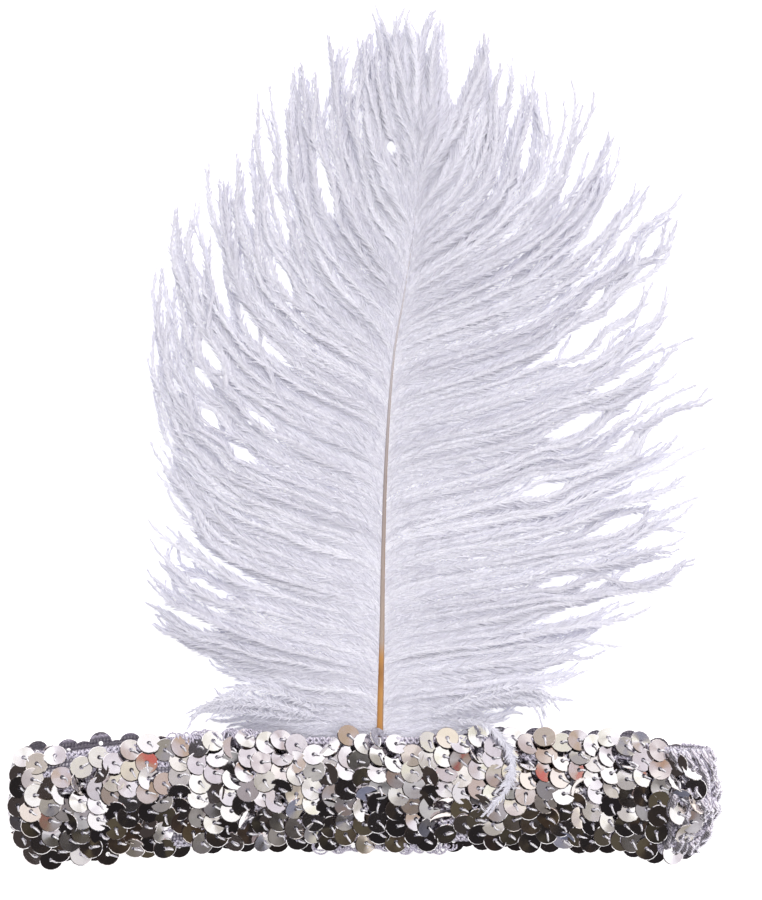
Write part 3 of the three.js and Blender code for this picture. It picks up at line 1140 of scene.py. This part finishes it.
@dataclass
class Quill:
    """The plume's shaft, from its foot inside the loop to its tip."""

    line: tuple[Triple, ...] = (
        (4.0, -10.0, 8.75),
        (4.2, 16.6, 8.75),
        (4.7, 41.0, 7.4),
        (5.0, 61.4, 6.4),
        (5.8, 87.0, 5.5),
        (7.6, 112.6, 5.0),
        (10.6, 130.6, 5.0),
        (13.2, 148.5, 5.0),
        (14.2, 161.3, 5.2),
        (13.3, 173.0, 5.6),
    )
    taper: tuple[Span, ...] = (
        (0.0, 0.95),
        (0.15, 0.82),
        (0.26, 0.62),
        (0.4, 0.5),
        (0.5, 0.37),
        (0.62, 0.25),
        (0.74, 0.17),
        (1.0, 0.12),
    )
    sides: int = 14
    steps: int = 60
    groove: float = 0.22
    crease: float = 60.0

    def curve(self, shares: Array) -> Array:
        """Points of the quill's line at shares of its length."""
        return through(np.array(self.line), shares)

    def radius(self, share: float) -> float:
        """The quill's radius at a share of its length."""
        return float(np.interp(share, *np.transpose(self.taper)))

    def build(self) -> Piece:
        """Models the shaft: a grooved ring, drawn out step by step along the quill's line.

        Returns:
            The finished quill.
        """
        places = self.curve(np.linspace(0.0, 1.0, self.steps + 1)) * METRES
        deselect_all()
        bpy.ops.mesh.primitive_circle_add(
            vertices=self.sides,
            radius=self.radius(0.0) * METRES,
            fill_type="NGON",
            location=places[0],
            rotation=(math.pi / 2, 0.0, 0.0),
        )
        piece = bpy.context.object
        piece.name = "quill_shaft"
        bpy.ops.object.transform_apply(location=True, rotation=True, scale=True)
        top = max(piece.data.vertices, key=lambda vertex: vertex.co.z)
        top.co.z -= self.groove * self.radius(0.0) * METRES
        bpy.ops.object.mode_set(mode="EDIT")
        bpy.ops.mesh.select_all(action="SELECT")
        for step in range(self.steps):
            move = places[step + 1] - places[step]
            bpy.ops.mesh.extrude_region_move(TRANSFORM_OT_translate={"value": tuple(move)})
            shrink = self.radius((step + 1) / self.steps) / self.radius(step / self.steps)
            bpy.ops.transform.resize(value=(shrink, 1.0, shrink), center_override=tuple(places[step + 1]))
        bpy.ops.mesh.select_all(action="SELECT")
        bpy.ops.mesh.normals_make_consistent(inside=False)
        bpy.ops.object.mode_set(mode="OBJECT")
        bpy.ops.object.shade_smooth_by_angle(angle=math.radians(self.crease))
        return piece

    def dress(self, piece: Piece) -> None:
        """Gives the quill its horn finish."""
        fit_piece(piece, "quill", HornFinish().material())


@dataclass(frozen=True)
class Tuft:
    """A loose lock with a line of its own, as (across, up, height) points."""

    line: tuple[Triple, ...]
    barbs: int
    half_width: float


@dataclass(frozen=True)
class BarbKind:
    """How thick a barb's shaft is, and how many barbules of what length and splay it carries."""

    shaft_half: float
    barbules: int
    barbule_length: float
    barbule_splay: Span


@dataclass
class Plume:
    """The ostrich plume: flat barbs that leave the quill in locks, each with a fringe of barbules.

    The lock tables give, for a height up the quill, where the barbs that leave there end and how sharply
    they turn up towards the plume's tip. The partings give where each gap starts and ends and its width.
    Barbules are drawn wider and fewer than real ones, so that they show.
    """

    quill: Quill
    left_locks: tuple[tuple[float, float, float, float], ...] = (
        (15.5, -36, 18, 0),
        (24.5, -40, 24.5, 0),
        (28, -44.5, 33, 0),
        (33, -57, 50.5, 0.25),
        (39, -57, 58.5, 0.4),
        (45, -51, 69, 0.6),
        (53, -50, 88, 0.9),
        (63, -52.5, 103, 0.95),
        (72, -52.5, 127, 1),
        (81, -50.3, 135.5, 1),
        (93, -47.3, 153.5, 1),
        (109, -34.5, 168, 1),
        (116, -21.5, 182.5, 1),
        (134, -9.5, 194, 0.95),
        (148, 0, 198.5, 0.9),
        (170, 8, 200.5, 0.6),
        (176, 13, 201, 0),
    )
    right_locks: tuple[tuple[float, float, float, float], ...] = (
        (15.5, 41, 18, 0),
        (24, 45, 24.5, 0),
        (31, 66, 39, 0),
        (39, 75.5, 55, 0),
        (47, 83.6, 65, 0),
        (60, 81.5, 80, 0),
        (74, 85.4, 103, 0.1),
        (87, 84, 116.5, 0.15),
        (97, 81, 131, 0.2),
        (106, 76.4, 143.5, 0.3),
        (115, 73, 155, 0.4),
        (124, 68, 169, 0.4),
        (133, 49, 186.5, 0.9),
        (143, 35, 192.5, 1.2),
        (159, 26, 197.5, 1),
        (170, 19, 200, 0.8),
        (176, 13.5, 201, 0),
    )
    quill_points: int = 400
    locks_a_side: int = 66
    barbs_a_lock: int = 4
    barb_points: int = 22
    point_crowding: float = 1.1
    vane_barb: BarbKind = BarbKind(
        shaft_half=0.42, barbules=285, barbule_length=3.1, barbule_splay=(6.0, 34.0)
    )
    wisp_barb: BarbKind = BarbKind(
        shaft_half=0.13, barbules=190, barbule_length=2.2, barbule_splay=(10.0, 62.0)
    )
    shaft_sides: int = 4
    shaft_tip: float = 0.13
    shaft_depth: float = 0.12
    shaft_flatness: float = 0.6
    shaft_widths: Span = (0.75, 1.25)
    shaft_root: float = 0.95
    shaft_root_run: float = 9.0
    point_length: float = 13.0
    roll_spread: float = 0.16
    barbule_half: float = 0.19
    barbule_depth: float = 0.05
    barbule_ends: Span = (0.01, 0.99)
    barbule_lengths: Span = (0.5, 1.3)
    barbule_foot: float = 0.6
    barbule_root: float = 0.65
    barbule_root_run: float = 8.0
    barbule_tip_share: float = 0.15
    barbule_tip_splay: float = 0.4
    barbule_lift: float = 0.3
    barbule_roll: float = 0.3
    barbule_tone: float = 0.05
    barbule_floor: float = 0.1
    streak_run: float = 100.0
    short_run: float = 12.0
    fuzz_reach: float = 0.6
    part_reach: float = 3.0
    partings: tuple[tuple[float, float, float, float, float], ...] = (
        (49.5, 111.5, 62.1, 122.9, 3.4),
        (45.4, 92.4, 64.1, 99.3, 3.4),
        (38.5, 76.9, 52.9, 81.9, 3.0),
        (60.5, 88.1, 71.6, 94.2, 2.0),
        (58.0, 124.4, 62.8, 132.1, 2.0),
        (58.8, 103.4, 78.7, 114.9, 1.3),
        (56.5, 68.2, 74.4, 72.4, 3.2),
        (-23.9, 141.8, -16.0, 124.9, 2.3),
        (-10.6, 167.7, -8.4, 146.7, 2.2),
        (-22.1, 158.7, -19.3, 138.2, 2.0),
        (-33.4, 127.7, -25.2, 115.7, 1.3),
        (-44.9, 119.6, -33.9, 108.5, 3.0),
        (-32.9, 101.1, -20.1, 94.2, 1.5),
        (-34.4, 91.1, -28.0, 85.8, 2.0),
        (-40.8, 101.1, -36.7, 94.2, 3.0),
        (25.0, 176.0, 22.5, 207.0, 5.0),
        (36.7, 176.4, 35.5, 189.0, 1.3),
        (5.5, 170.0, 8.8, 163.8, 1.8),
        (37.5, 153.3, 40.1, 156.7, 1.5),
        (-43.4, 60.2, -34.7, 47.9, 1.6),
        (-48.4, 49.7, -37.8, 42.8, 1.3),
        (44.5, 55.0, 57.0, 57.7, 1.8),
        (52.0, 50.7, 69.2, 59.6, 1.6),
        (43.2, 177.0, 41.0, 158.0, 2.2),
        (-43.8, 148.0, -41.8, 133.0, 2.0),
        (-26.0, 174.0, -24.0, 161.0, 2.2),
        (70.4, 137.0, 77.5, 148.0, 3.5),
        (63.6, 121.0, 70.2, 133.5, 3.6),
        (70.5, 88.0, 83.0, 101.0, 3.0),
        (63.0, 54.0, 80.0, 62.0, 3.6),
    )
    clump: float = 0.85
    clump_run: Span = (0.35, 0.85)
    tip_flare: float = 0.1
    flare_run: Span = (0.8, 1.0)
    scatter: Triple = (0.7, 0.7, 0.6)
    stray_share: float = 0.22
    stray_clump: float = 0.3
    stray_jitter: float = 3.8
    kept_jitter: float = 1.5
    tip_jitter: Triple = (0.6, 1.0, 0.4)
    lock_reach: Span = (0.91, 1.05)
    lock_jitter: Triple = (0.9, 3.0, 0.8)
    place_jitter: float = 0.06
    full_share: float = 0.72
    full_reach: Span = (0.9, 1.03)
    short_reach: Span = (0.6, 0.9)
    root_aside: float = 0.2
    root_dip: float = 3.2
    root_run: float = 3.4
    arch: float = 1.2
    arch_run: Span = (18.0, 30.0)
    early_pull: Triple = (0.4, 0.18, 0.0)
    straight_pull: Triple = (0.8, 0.5, 0.6)
    turned_pull: Triple = (1.02, 0.28, 0.6)
    wave_lengths: Span = (14.0, 34.0)
    wave_spread: float = 0.3
    wave_size: float = 0.7
    lock_curl: float = 2.0
    own_curl: float = 0.7
    curl_from: float = 0.75
    lock_layer: float = 0.5
    own_layer: float = 0.4
    past_band: Span = (17.0, 30.0)
    tone: float = 0.3
    tone_spread: float = 0.06
    tuft_reach: Span = (0.7, 1.0)
    tuft_spread: Triple = (1.0, 1.0, 0.35)
    tuft_foot: float = 0.35
    tuft_close: float = 1.05
    tuft_curl: Triple = (1.6, 1.0, 0.2)
    tuft_tone: float = 0.35
    tuft_tone_spread: float = 0.08
    tip_height: float = 1.6
    floor_gap: float = 0.3
    seed: int = 29

    def roots(self, up: Array) -> Array:
        """Points of the quill at heights up the plume."""
        fine = self.quill.curve(np.linspace(0.0, 1.0, self.quill_points))
        return np.stack([np.interp(up, fine[:, 1], fine[:, i]) for i in (0, 1, 2)], axis=-1)

    def bend(self, root: Array, tip: Array, turn: Array, shares: Array) -> Array:
        """A barb's line: it leaves almost level, then turns up towards the plume's tip.

        Args:
            root: Where each barb leaves the quill.
            tip: Where each barb ends.
            turn: How sharply each barb turns up.
            shares: Places along the barbs.

        Returns:
            Points of each barb.
        """
        reach = tip - root
        lift = np.array([0.0, 0.0, self.arch]) * ease(*self.arch_run, root[:, 1])[:, None]
        straight = np.array(self.straight_pull)
        early = root + reach * self.early_pull + lift
        late = root + reach * (straight + (self.turned_pull - straight) * turn[:, None]) + lift
        t = shares[:, None]
        return (
            root[:, None] * (1 - t) ** 3
            + 3 * early[:, None] * t * (1 - t) ** 2
            + 3 * late[:, None] * t**2 * (1 - t)
            + tip[:, None] * t**3
        )

    def ends(
        self, table: Array, places: Array, reach: Array, jitter: Array
    ) -> tuple[Array, Array, Array]:
        """Where barbs leave the quill and end, read from a table of locks.

        Args:
            table: The locks of this side.
            places: How far each barb is through the table, counted half by the way up the quill and half
                by the way round the plume's edge.
            reach: The share of the plume's reach that each one has.
            jitter: How far each end is off its place.

        Returns:
            The height at which each barb leaves, its end, and how sharply it turns up.
        """
        climb = np.abs(np.diff(table[:, 0], prepend=table[0, 0]))
        edge = np.linalg.norm(np.diff(table[:, 1:3], axis=0, prepend=table[:1, 1:3]), axis=1)
        measure = 0.5 * np.cumsum(climb) / climb.sum() + 0.5 * np.cumsum(edge) / edge.sum()
        height, across, up, turn = (np.interp(places, measure, table[:, i]) for i in range(4))
        end = np.stack([across, up, np.full(len(places), self.tip_height)], axis=-1)
        root = self.roots(height)
        return height, root + (end - root) * reach[:, None] + jitter, turn

    def barbs(self, side: Side) -> tuple[Array, Array]:
        """The barbs of one side, gathered into locks.

        Args:
            side: The side of the quill.

        Returns:
            Points of each barb and each barb's tone.
        """
        chance = np.random.default_rng(self.seed + side.value)
        table = np.array(self.left_locks if side is Side.LEFT else self.right_locks, dtype=float)
        shares = np.linspace(0.0, 1.0, self.barb_points) ** self.point_crowding
        locks = self.locks_a_side
        lock_place = (np.arange(locks) + 0.5) / locks
        lock_reach = chance.uniform(*self.lock_reach, locks)
        lock_jitter = chance.normal(size=(locks, 3)) * self.lock_jitter
        lock_up, lock_ends, lock_turn = self.ends(table, lock_place, lock_reach, lock_jitter)
        lock_lines = self.bend(self.roots(lock_up), lock_ends, lock_turn, shares)

        owner = np.repeat(np.arange(locks), self.barbs_a_lock)
        count = len(owner)
        spread = (np.tile(np.arange(self.barbs_a_lock), locks) + 0.5) / self.barbs_a_lock - 0.5
        place = lock_place[owner] + (spread + self.place_jitter * chance.normal(size=count)) / locks
        stray = chance.random(count) < self.stray_share
        is_full = chance.random(count) < self.full_share
        full = chance.uniform(*self.full_reach, count)
        short = chance.uniform(*self.short_reach, count)
        reach = lock_reach[owner] * np.where(is_full, full, short)
        loose = np.where(stray, self.stray_jitter, self.kept_jitter)[:, None]
        jitter = chance.normal(size=(count, 3)) * loose * self.tip_jitter
        up, own_ends, own_turn = self.ends(table, place, reach, jitter)
        root = self.roots(up - self.root_dip)
        root[:, 0] += side.value * self.root_aside
        root[:, 1] += self.root_dip
        own = self.bend(root, own_ends, own_turn, shares)

        gather = np.where(stray, self.stray_clump, 1.0) * self.clump
        ramp = ease(*self.clump_run, shares) * (1.0 - self.tip_flare * ease(*self.flare_run, shares))
        weight = (gather[:, None] * ramp)[..., None]
        scatter = chance.normal(size=(count, 3)) * self.scatter
        start = lock_lines[owner][:, :1]
        centre = start + (lock_lines[owner] - start) * (reach / lock_reach[owner])[:, None, None]
        paths = own * (1 - weight) + (centre + scatter[:, None]) * weight
        paths = self.part(self.loosen(paths, owner, shares, chance))
        return paths, self.tone + by_lock(chance, owner, self.tone_spread, self.tone_spread)

    def loosen(
        self, paths: Array, owner: Array, shares: Array, chance: np.random.Generator
    ) -> Array:
        """Gives barbs their dip at the quill, slow waves, curled tips and layers.

        Args:
            paths: Points of each barb.
            owner: The number of each barb's lock.
            shares: Places along the barbs.
            chance: The source of their differences.

        Returns:
            Points of each barb.
        """
        count = len(paths)
        length = np.linalg.norm(np.diff(paths, axis=1), axis=2).sum(axis=1)
        gone = shares[None] * length[:, None]
        along = unit(np.gradient(paths, axis=1))
        sideways = np.stack([-along[..., 1], along[..., 0], np.zeros_like(along[..., 0])], axis=-1)
        wave_length = chance.uniform(*self.wave_lengths, count)[:, None]
        phase = chance.random(owner.max() + 1)[owner] + self.wave_spread * chance.normal(size=count)
        swing = self.wave_size * shares[None] * np.sin(2 * np.pi * (gone / wave_length + phase[:, None]))
        curl = by_lock(chance, owner, self.lock_curl, self.own_curl)[:, None]
        curled = np.clip((shares[None] - self.curl_from) / (1.0 - self.curl_from), 0.0, 1.0) ** 2
        paths = paths + sideways * (swing + curl * curled)[..., None]
        paths[..., 1] -= self.root_dip * np.exp(-gone / self.root_run)
        layer = by_lock(chance, owner, self.lock_layer, self.own_layer)[:, None]
        paths[..., 2] += layer * np.sin(np.pi * shares)[None] * ease(*self.past_band, paths[..., 1])
        paths[..., 2] = np.maximum(paths[..., 2], self.floor_gap)
        return paths

    def part(self, paths: Array) -> Array:
        """Parts the barbs round almond-shaped gaps.

        Args:
            paths: Points of each barb.

        Returns:
            Points of each barb.
        """
        for start_across, start_up, end_across, end_up, width in self.partings:
            start = np.array([start_across, start_up])
            end = np.array([end_across, end_up])
            half_run = np.linalg.norm(end - start) / 2
            run = unit(end - start)
            over = np.array([-run[1], run[0]])
            offset = paths[..., :2] - (start + end) / 2
            along = offset @ run / half_run
            aside = offset @ over
            open_share = np.clip(1.0 - along**2, 0.0, 1.0)
            hand = np.where(np.sum(aside * open_share, axis=1, keepdims=True) < 0, -1.0, 1.0)
            half = (width / 2 + self.fuzz_reach) * open_share
            near = np.clip(1.0 - np.abs(aside) / (self.part_reach * (width + self.fuzz_reach)), 0.0, 1.0)
            strayed = np.maximum(0.0, -hand * aside) * open_share
            paths[..., :2] += (hand * (half * near + strayed * (near > 0)))[..., None] * over
        return paths

    def tuft_barbs(self, tuft: Tuft, seed: int) -> tuple[Array, Array]:
        """The barbs of a loose lock.

        Args:
            tuft: The lock.
            seed: Starts its own differences.

        Returns:
            Points of each barb and each barb's tone.
        """
        chance = np.random.default_rng(seed)
        shares = np.linspace(0.0, 1.0, self.barb_points)
        reach = chance.uniform(*self.tuft_reach, tuft.barbs)
        lines = np.stack([through(np.array(tuft.line), shares * share) for share in reach])
        spread = chance.normal(size=(tuft.barbs, 1, 3)) * self.tuft_spread * tuft.half_width
        swell = grown(self.tuft_foot, np.sin(np.pi * np.clip(shares * self.tuft_close, 0.0, 1.0)))
        curl = chance.normal(size=(tuft.barbs, 1, 3)) * self.tuft_curl
        paths = lines + spread * swell[None, :, None] + curl * (shares**3)[None, :, None]
        return paths, self.tuft_tone + self.tuft_tone_spread * chance.normal(size=tuft.barbs)

    def fringe(
        self,
        kind: BarbKind,
        paths: Array,
        gone: Array,
        half: Array,
        chance: np.random.Generator,
    ) -> tuple[Array, Array]:
        """The limp barbules along both edges of each barb, which lie over each other as felt.

        Args:
            kind: The barbs' kind.
            paths: Points of each barb.
            gone: The way along each barb to those points.
            half: Half of each shaft's width at those points.
            chance: The source of their differences.

        Returns:
            Points and triangles of the barbules, barb by barb.
        """
        count, steps = paths.shape[:2]
        each = (count, kind.barbules)
        place = chance.uniform(*self.barbule_ends, each) * (steps - 1)
        span = np.minimum(place.astype(int), steps - 2)
        part = (place - span)[..., None]
        barb = np.arange(count)[:, None]
        here = paths[barb, span]
        after = paths[barb, span + 1]
        middle = here * (1 - part) + after * part
        along = unit(after - here)
        side = unit(np.cross(along, np.array([0.0, 0.0, 1.0])))
        hand = np.where(chance.random(each) < 0.5, -1.0, 1.0)
        lift = self.barbule_lift * chance.normal(size=each)
        outward = unit(hand[..., None] * side + lift[..., None] * np.cross(side, along))
        feet = middle + (self.barbule_foot * half[barb, span])[..., None] * outward
        run = gone[barb, span]
        left = np.clip((gone[:, -1:] - run) / self.short_run, 0.0, 1.0)
        splay = np.radians(chance.uniform(*kind.barbule_splay, each)) * grown(self.barbule_tip_splay, left)
        way = np.cos(splay)[..., None] * along + np.sin(splay)[..., None] * outward
        full = grown(self.barbule_tip_share, left)
        full = full * grown(self.barbule_root, ease(0.0, self.barbule_root_run, run))
        length = kind.barbule_length * full * chance.uniform(*self.barbule_lengths, each)
        tips = feet + way * length[..., None]
        tips[..., 2] = np.maximum(tips[..., 2], self.barbule_floor)
        roll = self.barbule_roll * chance.normal(size=count * kind.barbules)
        return blades(feet.reshape(-1, 3), tips.reshape(-1, 3), self.barbule_half, self.barbule_depth, roll)

    def build(
        self, name: str, kind: BarbKind, paths: Array, tone: Array, seed: int
    ) -> Piece:
        """Makes each barb of a flat shaft and its barbules.

        Args:
            name: The piece's name.
            kind: The barbs' kind.
            paths: Points of each barb.
            tone: Each barb's tone.
            seed: Starts the barbs' differences.

        Returns:
            The finished piece.
        """
        chance = np.random.default_rng(seed)
        count, steps = paths.shape[:2]
        gone = np.cumsum(np.linalg.norm(np.diff(paths, axis=1, prepend=paths[:, :1]), axis=2), axis=1)
        left = np.clip((gone[:, -1:] - gone) / self.point_length, 0.0, 1.0)
        half = self.shaft_tip + (kind.shaft_half - self.shaft_tip) * left
        half = half * grown(self.shaft_root, ease(0.0, self.shaft_root_run, gone))
        half = half * chance.uniform(*self.shaft_widths, (count, 1))
        deep = np.minimum(self.shaft_depth, self.shaft_flatness * half)
        roll = self.roll_spread * chance.normal(size=(count, 1))
        shafts, shaft_faces = tubes(paths, half, deep, self.shaft_sides, roll)
        hairs, hair_faces = self.fringe(kind, paths, gone, half, chance)
        points = np.concatenate([shafts, hairs])
        piece = new_piece(name, points, np.concatenate([shaft_faces, hair_faces + len(shafts)]), flat=True)
        hair_tone = np.repeat(tone, kind.barbules)
        hair_tone = hair_tone + self.barbule_tone * chance.normal(size=len(hair_tone))
        shaft_place = gone + self.streak_run * chance.random((count, 1))
        hair_place = self.streak_run * chance.random(len(hair_tone))
        shades = {"tone": (np.repeat(tone, steps), hair_tone), "barbule": (shaft_place.ravel(), hair_place)}
        for shade, (of_shafts, of_hairs) in shades.items():
            values = [np.repeat(of_shafts, self.shaft_sides), np.repeat(of_hairs, BLADE_POINTS)]
            set_shade(piece, shade, np.concatenate(values))
        return piece

    def dress(self, form: BandForm) -> None:
        """Builds the plume in pieces and gives them the barbs' finish.

        Args:
            form: The band, which one lock lies over.
        """
        material = BarbFinish().material()
        for side in Side:
            paths, tone = self.barbs(side)
            half = len(paths) // 2
            for part, chosen in (("lower", slice(0, half)), ("upper", slice(half, None))):
                name = f"plume_{side.name.lower()}_{part}"
                seed = self.seed + side.value
                piece = self.build(name, self.vane_barb, paths[chosen], tone[chosen], seed)
                fit_piece(piece, "plume_vane", material)
        sets = [self.tuft_barbs(tuft, self.seed + i) for i, tuft in enumerate(self.tufts(form))]
        paths = np.concatenate([barbs for barbs, _ in sets])
        tone = np.concatenate([tones for _, tones in sets])
        wisps = self.build("plume_wisps", self.wisp_barb, paths, tone, self.seed)
        fit_piece(wisps, "plume_vane", material)

    @staticmethod
    def tufts(form: BandForm) -> list[Tuft]:
        """The loose locks: one each side above the band, and one over its front.

        Args:
            form: The band.

        Returns:
            The locks.
        """
        above_elastic = 4.3
        over = np.array([(36.5, 11.5), (38.2, 6.5), (37.0, 1.0), (33.0, -4.0), (30.5, -7.5)])
        lying = form.place(over[:, 0], over[:, 1], np.full(len(over), above_elastic))
        start = ((22.0, 20.5, 9.0), (31.0, 19.8, 12.5))
        left = ((-12.0, 21.5, 8.6), (-28.0, 25.0, 8.2), (-40.0, 23.0, 7.0), (-48.0, 17.5, 5.5))
        right = ((18.0, 22.0, 8.6), (33.0, 27.0, 8.2), (44.0, 27.0, 7.0), (48.5, 19.0, 5.5))
        return [
            Tuft(left, barbs=12, half_width=1.2),
            Tuft(right, barbs=12, half_width=1.3),
            Tuft((*start, *(tuple(point) for point in lying)), barbs=3, half_width=0.4),
        ]


@dataclass
class Studio:
    """The pale table, the soft light round it and the camera straight above.

    The sequins mirror the room. Its walls are white with tinted patches, and darker towards the viewer and
    the left; its ceiling has a dark patch that leans towards the viewer. The shaded table gives, for an
    axis, where the walls start and stop growing darker and by how much.
    """

    pixel: float = 0.256
    centre: Span = (4.48, 89.6)
    level: float = 8.0
    lens: float = 100.0
    sensor: float = 36.0
    image_height: int = 900
    table_size: float = 80000.0
    table_drop: float = 0.2
    table_glow: float = 0.6
    table_grain: float = 25.0
    table_tones: Stops = ((0.0, "f4f4f4"), (1.0, "fafafa"))
    table_roughness: float = 0.8
    light: float = 1.5
    lamp: float = 1.86
    lamp_breadth: float = 80.0
    lamp_tilt: float = -12.0
    dark_lean: float = -32.0
    dark_edge: Stops = ((0.795, "000000"), (0.93, "ffffff"))
    ragged_scale: float = 5.0
    ragged_share: float = 0.22
    tint_scale: float = 6.5
    shaded: tuple[tuple[str, float, float, float], ...] = (("Y", 0.0, -0.8, 0.2), ("X", -0.3, -0.5, 0.45))
    horizon: Span = (0.03, 0.07)
    walls: Stops = (
        (0.29, "c4343a"),
        (0.31, "8e8160"),
        (0.36, "b0977b"),
        (0.41, "b3aab0"),
        (0.46, "dad6de"),
        (0.49, "ffffff"),
        (0.55, "ffffff"),
        (0.57, "cfcda6"),
        (0.6, "c4bfca"),
        (0.65, "8a8460"),
        (0.69, "918d9a"),
        (0.74, "626b82"),
        (0.79, "3b3533"),
    )
    ceiling: Stops = (
        (0.32, "332f30"),
        (0.37, "5f5946"),
        (0.41, "42342a"),
        (0.44, "232021"),
        (0.59, "1d1b1c"),
        (0.63, "423d30"),
        (0.68, "524c41"),
        (0.72, "2a2727"),
    )

    def place_camera(self) -> None:
        """Hangs the camera over the table, with the plume upwards in the picture."""
        data = bpy.data.cameras.new("camera")
        data.lens = self.lens
        data.sensor_width = self.sensor
        camera = bpy.data.objects.new("camera", data)
        distance = self.lens * self.pixel * self.image_height / self.sensor
        camera.location = np.array([*self.centre, self.level + distance]) * METRES
        bpy.context.scene.collection.objects.link(camera)
        bpy.context.scene.camera = camera

    def lay_table(self) -> None:
        """Puts a plain pale table under the headband."""
        deselect_all()
        under = (0.0, 0.0, -self.table_drop * METRES)
        bpy.ops.mesh.primitive_plane_add(size=self.table_size * METRES, location=under)
        table = bpy.context.object
        table.name = "table"
        material, tree, shader = new_material("white_table")
        place = add_node(tree, "ShaderNodeTexCoord")
        noise = {"Vector": place.outputs["Object"], "Scale": 1 / (self.table_grain * METRES)}
        grain = add_node(tree, "ShaderNodeTexNoise", noise)
        ramp = add_node(tree, "ShaderNodeValToRGB", {"Fac": grain.outputs["Fac"]}, self.table_tones)
        wire(tree, shader, {"Base Color": ramp.outputs["Color"], "Roughness": self.table_roughness})
        wire(tree, shader, {"Emission Color": linear("ffffff"), "Emission Strength": self.table_glow})
        table.data.materials.append(material)

    def light_room(self) -> None:
        """Lights the room: tinted white walls, a dark patch of ceiling, and plain white at the horizon."""
        world = bpy.data.worlds.new("studio")
        bpy.context.scene.world = world
        world.use_nodes = True
        tree = world.node_tree
        tree.nodes.clear()
        way = add_node(tree, "ShaderNodeTexCoord").outputs["Generated"]
        parts = add_node(tree, "ShaderNodeSeparateXYZ", {"Vector": way})

        lean = math.radians(self.dark_lean)
        middle = (0.0, math.sin(lean), math.cos(lean))
        near = add_node(tree, "ShaderNodeVectorMath", {0: way, 1: middle}, operation="DOT_PRODUCT")
        ragged = add_node(tree, "ShaderNodeTexNoise", {"Vector": way, "Scale": self.ragged_scale})
        sums = {0: ragged.outputs["Fac"], 1: self.ragged_share, 2: near.outputs["Value"]}
        edge = add_node(tree, "ShaderNodeMath", sums, operation="MULTIPLY_ADD")
        inside = add_node(tree, "ShaderNodeValToRGB", {"Fac": edge.outputs["Value"]}, self.dark_edge)

        tint = add_node(tree, "ShaderNodeTexNoise", {"Vector": way, "Scale": self.tint_scale})
        tints = tint.outputs["Fac"]
        greyer = tints
        for axis, start, end, most in self.shaded:
            run = {"Value": parts.outputs[axis], "From Min": start, "From Max": end, "To Max": most}
            further = add_node(tree, "ShaderNodeMapRange", run)
            added = {0: greyer, 1: further.outputs["Result"]}
            greyer = add_node(tree, "ShaderNodeMath", added, operation="ADD").outputs["Value"]
        walls = add_node(tree, "ShaderNodeValToRGB", {"Fac": greyer}, self.walls)
        ceiling = add_node(tree, "ShaderNodeValToRGB", {"Fac": tints}, self.ceiling)
        room = {
            MIX_SHARE: inside.outputs["Color"],
            MIX_FIRST: walls.outputs["Color"],
            MIX_SECOND: ceiling.outputs["Color"],
        }
        colour = add_node(tree, "ShaderNodeMix", room, data_type="RGBA")

        low, high = self.horizon
        rise = {"Value": parts.outputs["Z"], "From Min": low, "From Max": high}
        above = add_node(tree, "ShaderNodeMapRange", rise)
        fade = {
            MIX_SHARE: above.outputs["Result"],
            MIX_FIRST: linear("ffffff"),
            MIX_SECOND: colour.outputs[MIX_RESULT],
        }
        faded = add_node(tree, "ShaderNodeMix", fade, data_type="RGBA")
        glow = {"Color": faded.outputs[MIX_RESULT], "Strength": self.light}
        background = add_node(tree, "ShaderNodeBackground", glow)
        add_node(tree, "ShaderNodeOutputWorld", {"Surface": background.outputs["Background"]})

    def hang_lamp(self) -> None:
        """Hangs a broad soft lamp over the table that lights cloth and plume but isn't mirrored."""
        data = bpy.data.lights.new("soft_lamp", "SUN")
        data.energy = self.lamp
        data.angle = math.radians(self.lamp_breadth)
        lamp = bpy.data.objects.new("soft_lamp", data)
        lamp.visible_glossy = False
        lamp.rotation_euler = (math.radians(self.lamp_tilt), 0.0, 0.0)
        bpy.context.scene.collection.objects.link(lamp)

    def set_up(self) -> None:
        """Builds the studio and shows light as it is, with no film curve."""
        self.place_camera()
        self.lay_table()
        self.light_room()
        self.hang_lamp()
        bpy.context.scene.view_settings.view_transform = "Standard"


def main() -> None:
    """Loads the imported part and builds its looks, piece by piece."""
    logging.basicConfig(level=logging.INFO, format="%(message)s")
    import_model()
    Studio().set_up()
    form = BandForm()
    elastic = ElasticLoop(form)
    elastic.dress(elastic.build())
    SequinField(form).dress()
    quill = Quill()
    quill.dress(quill.build())
    Plume(quill).dress(form)


if __name__ == "__main__":
    main()
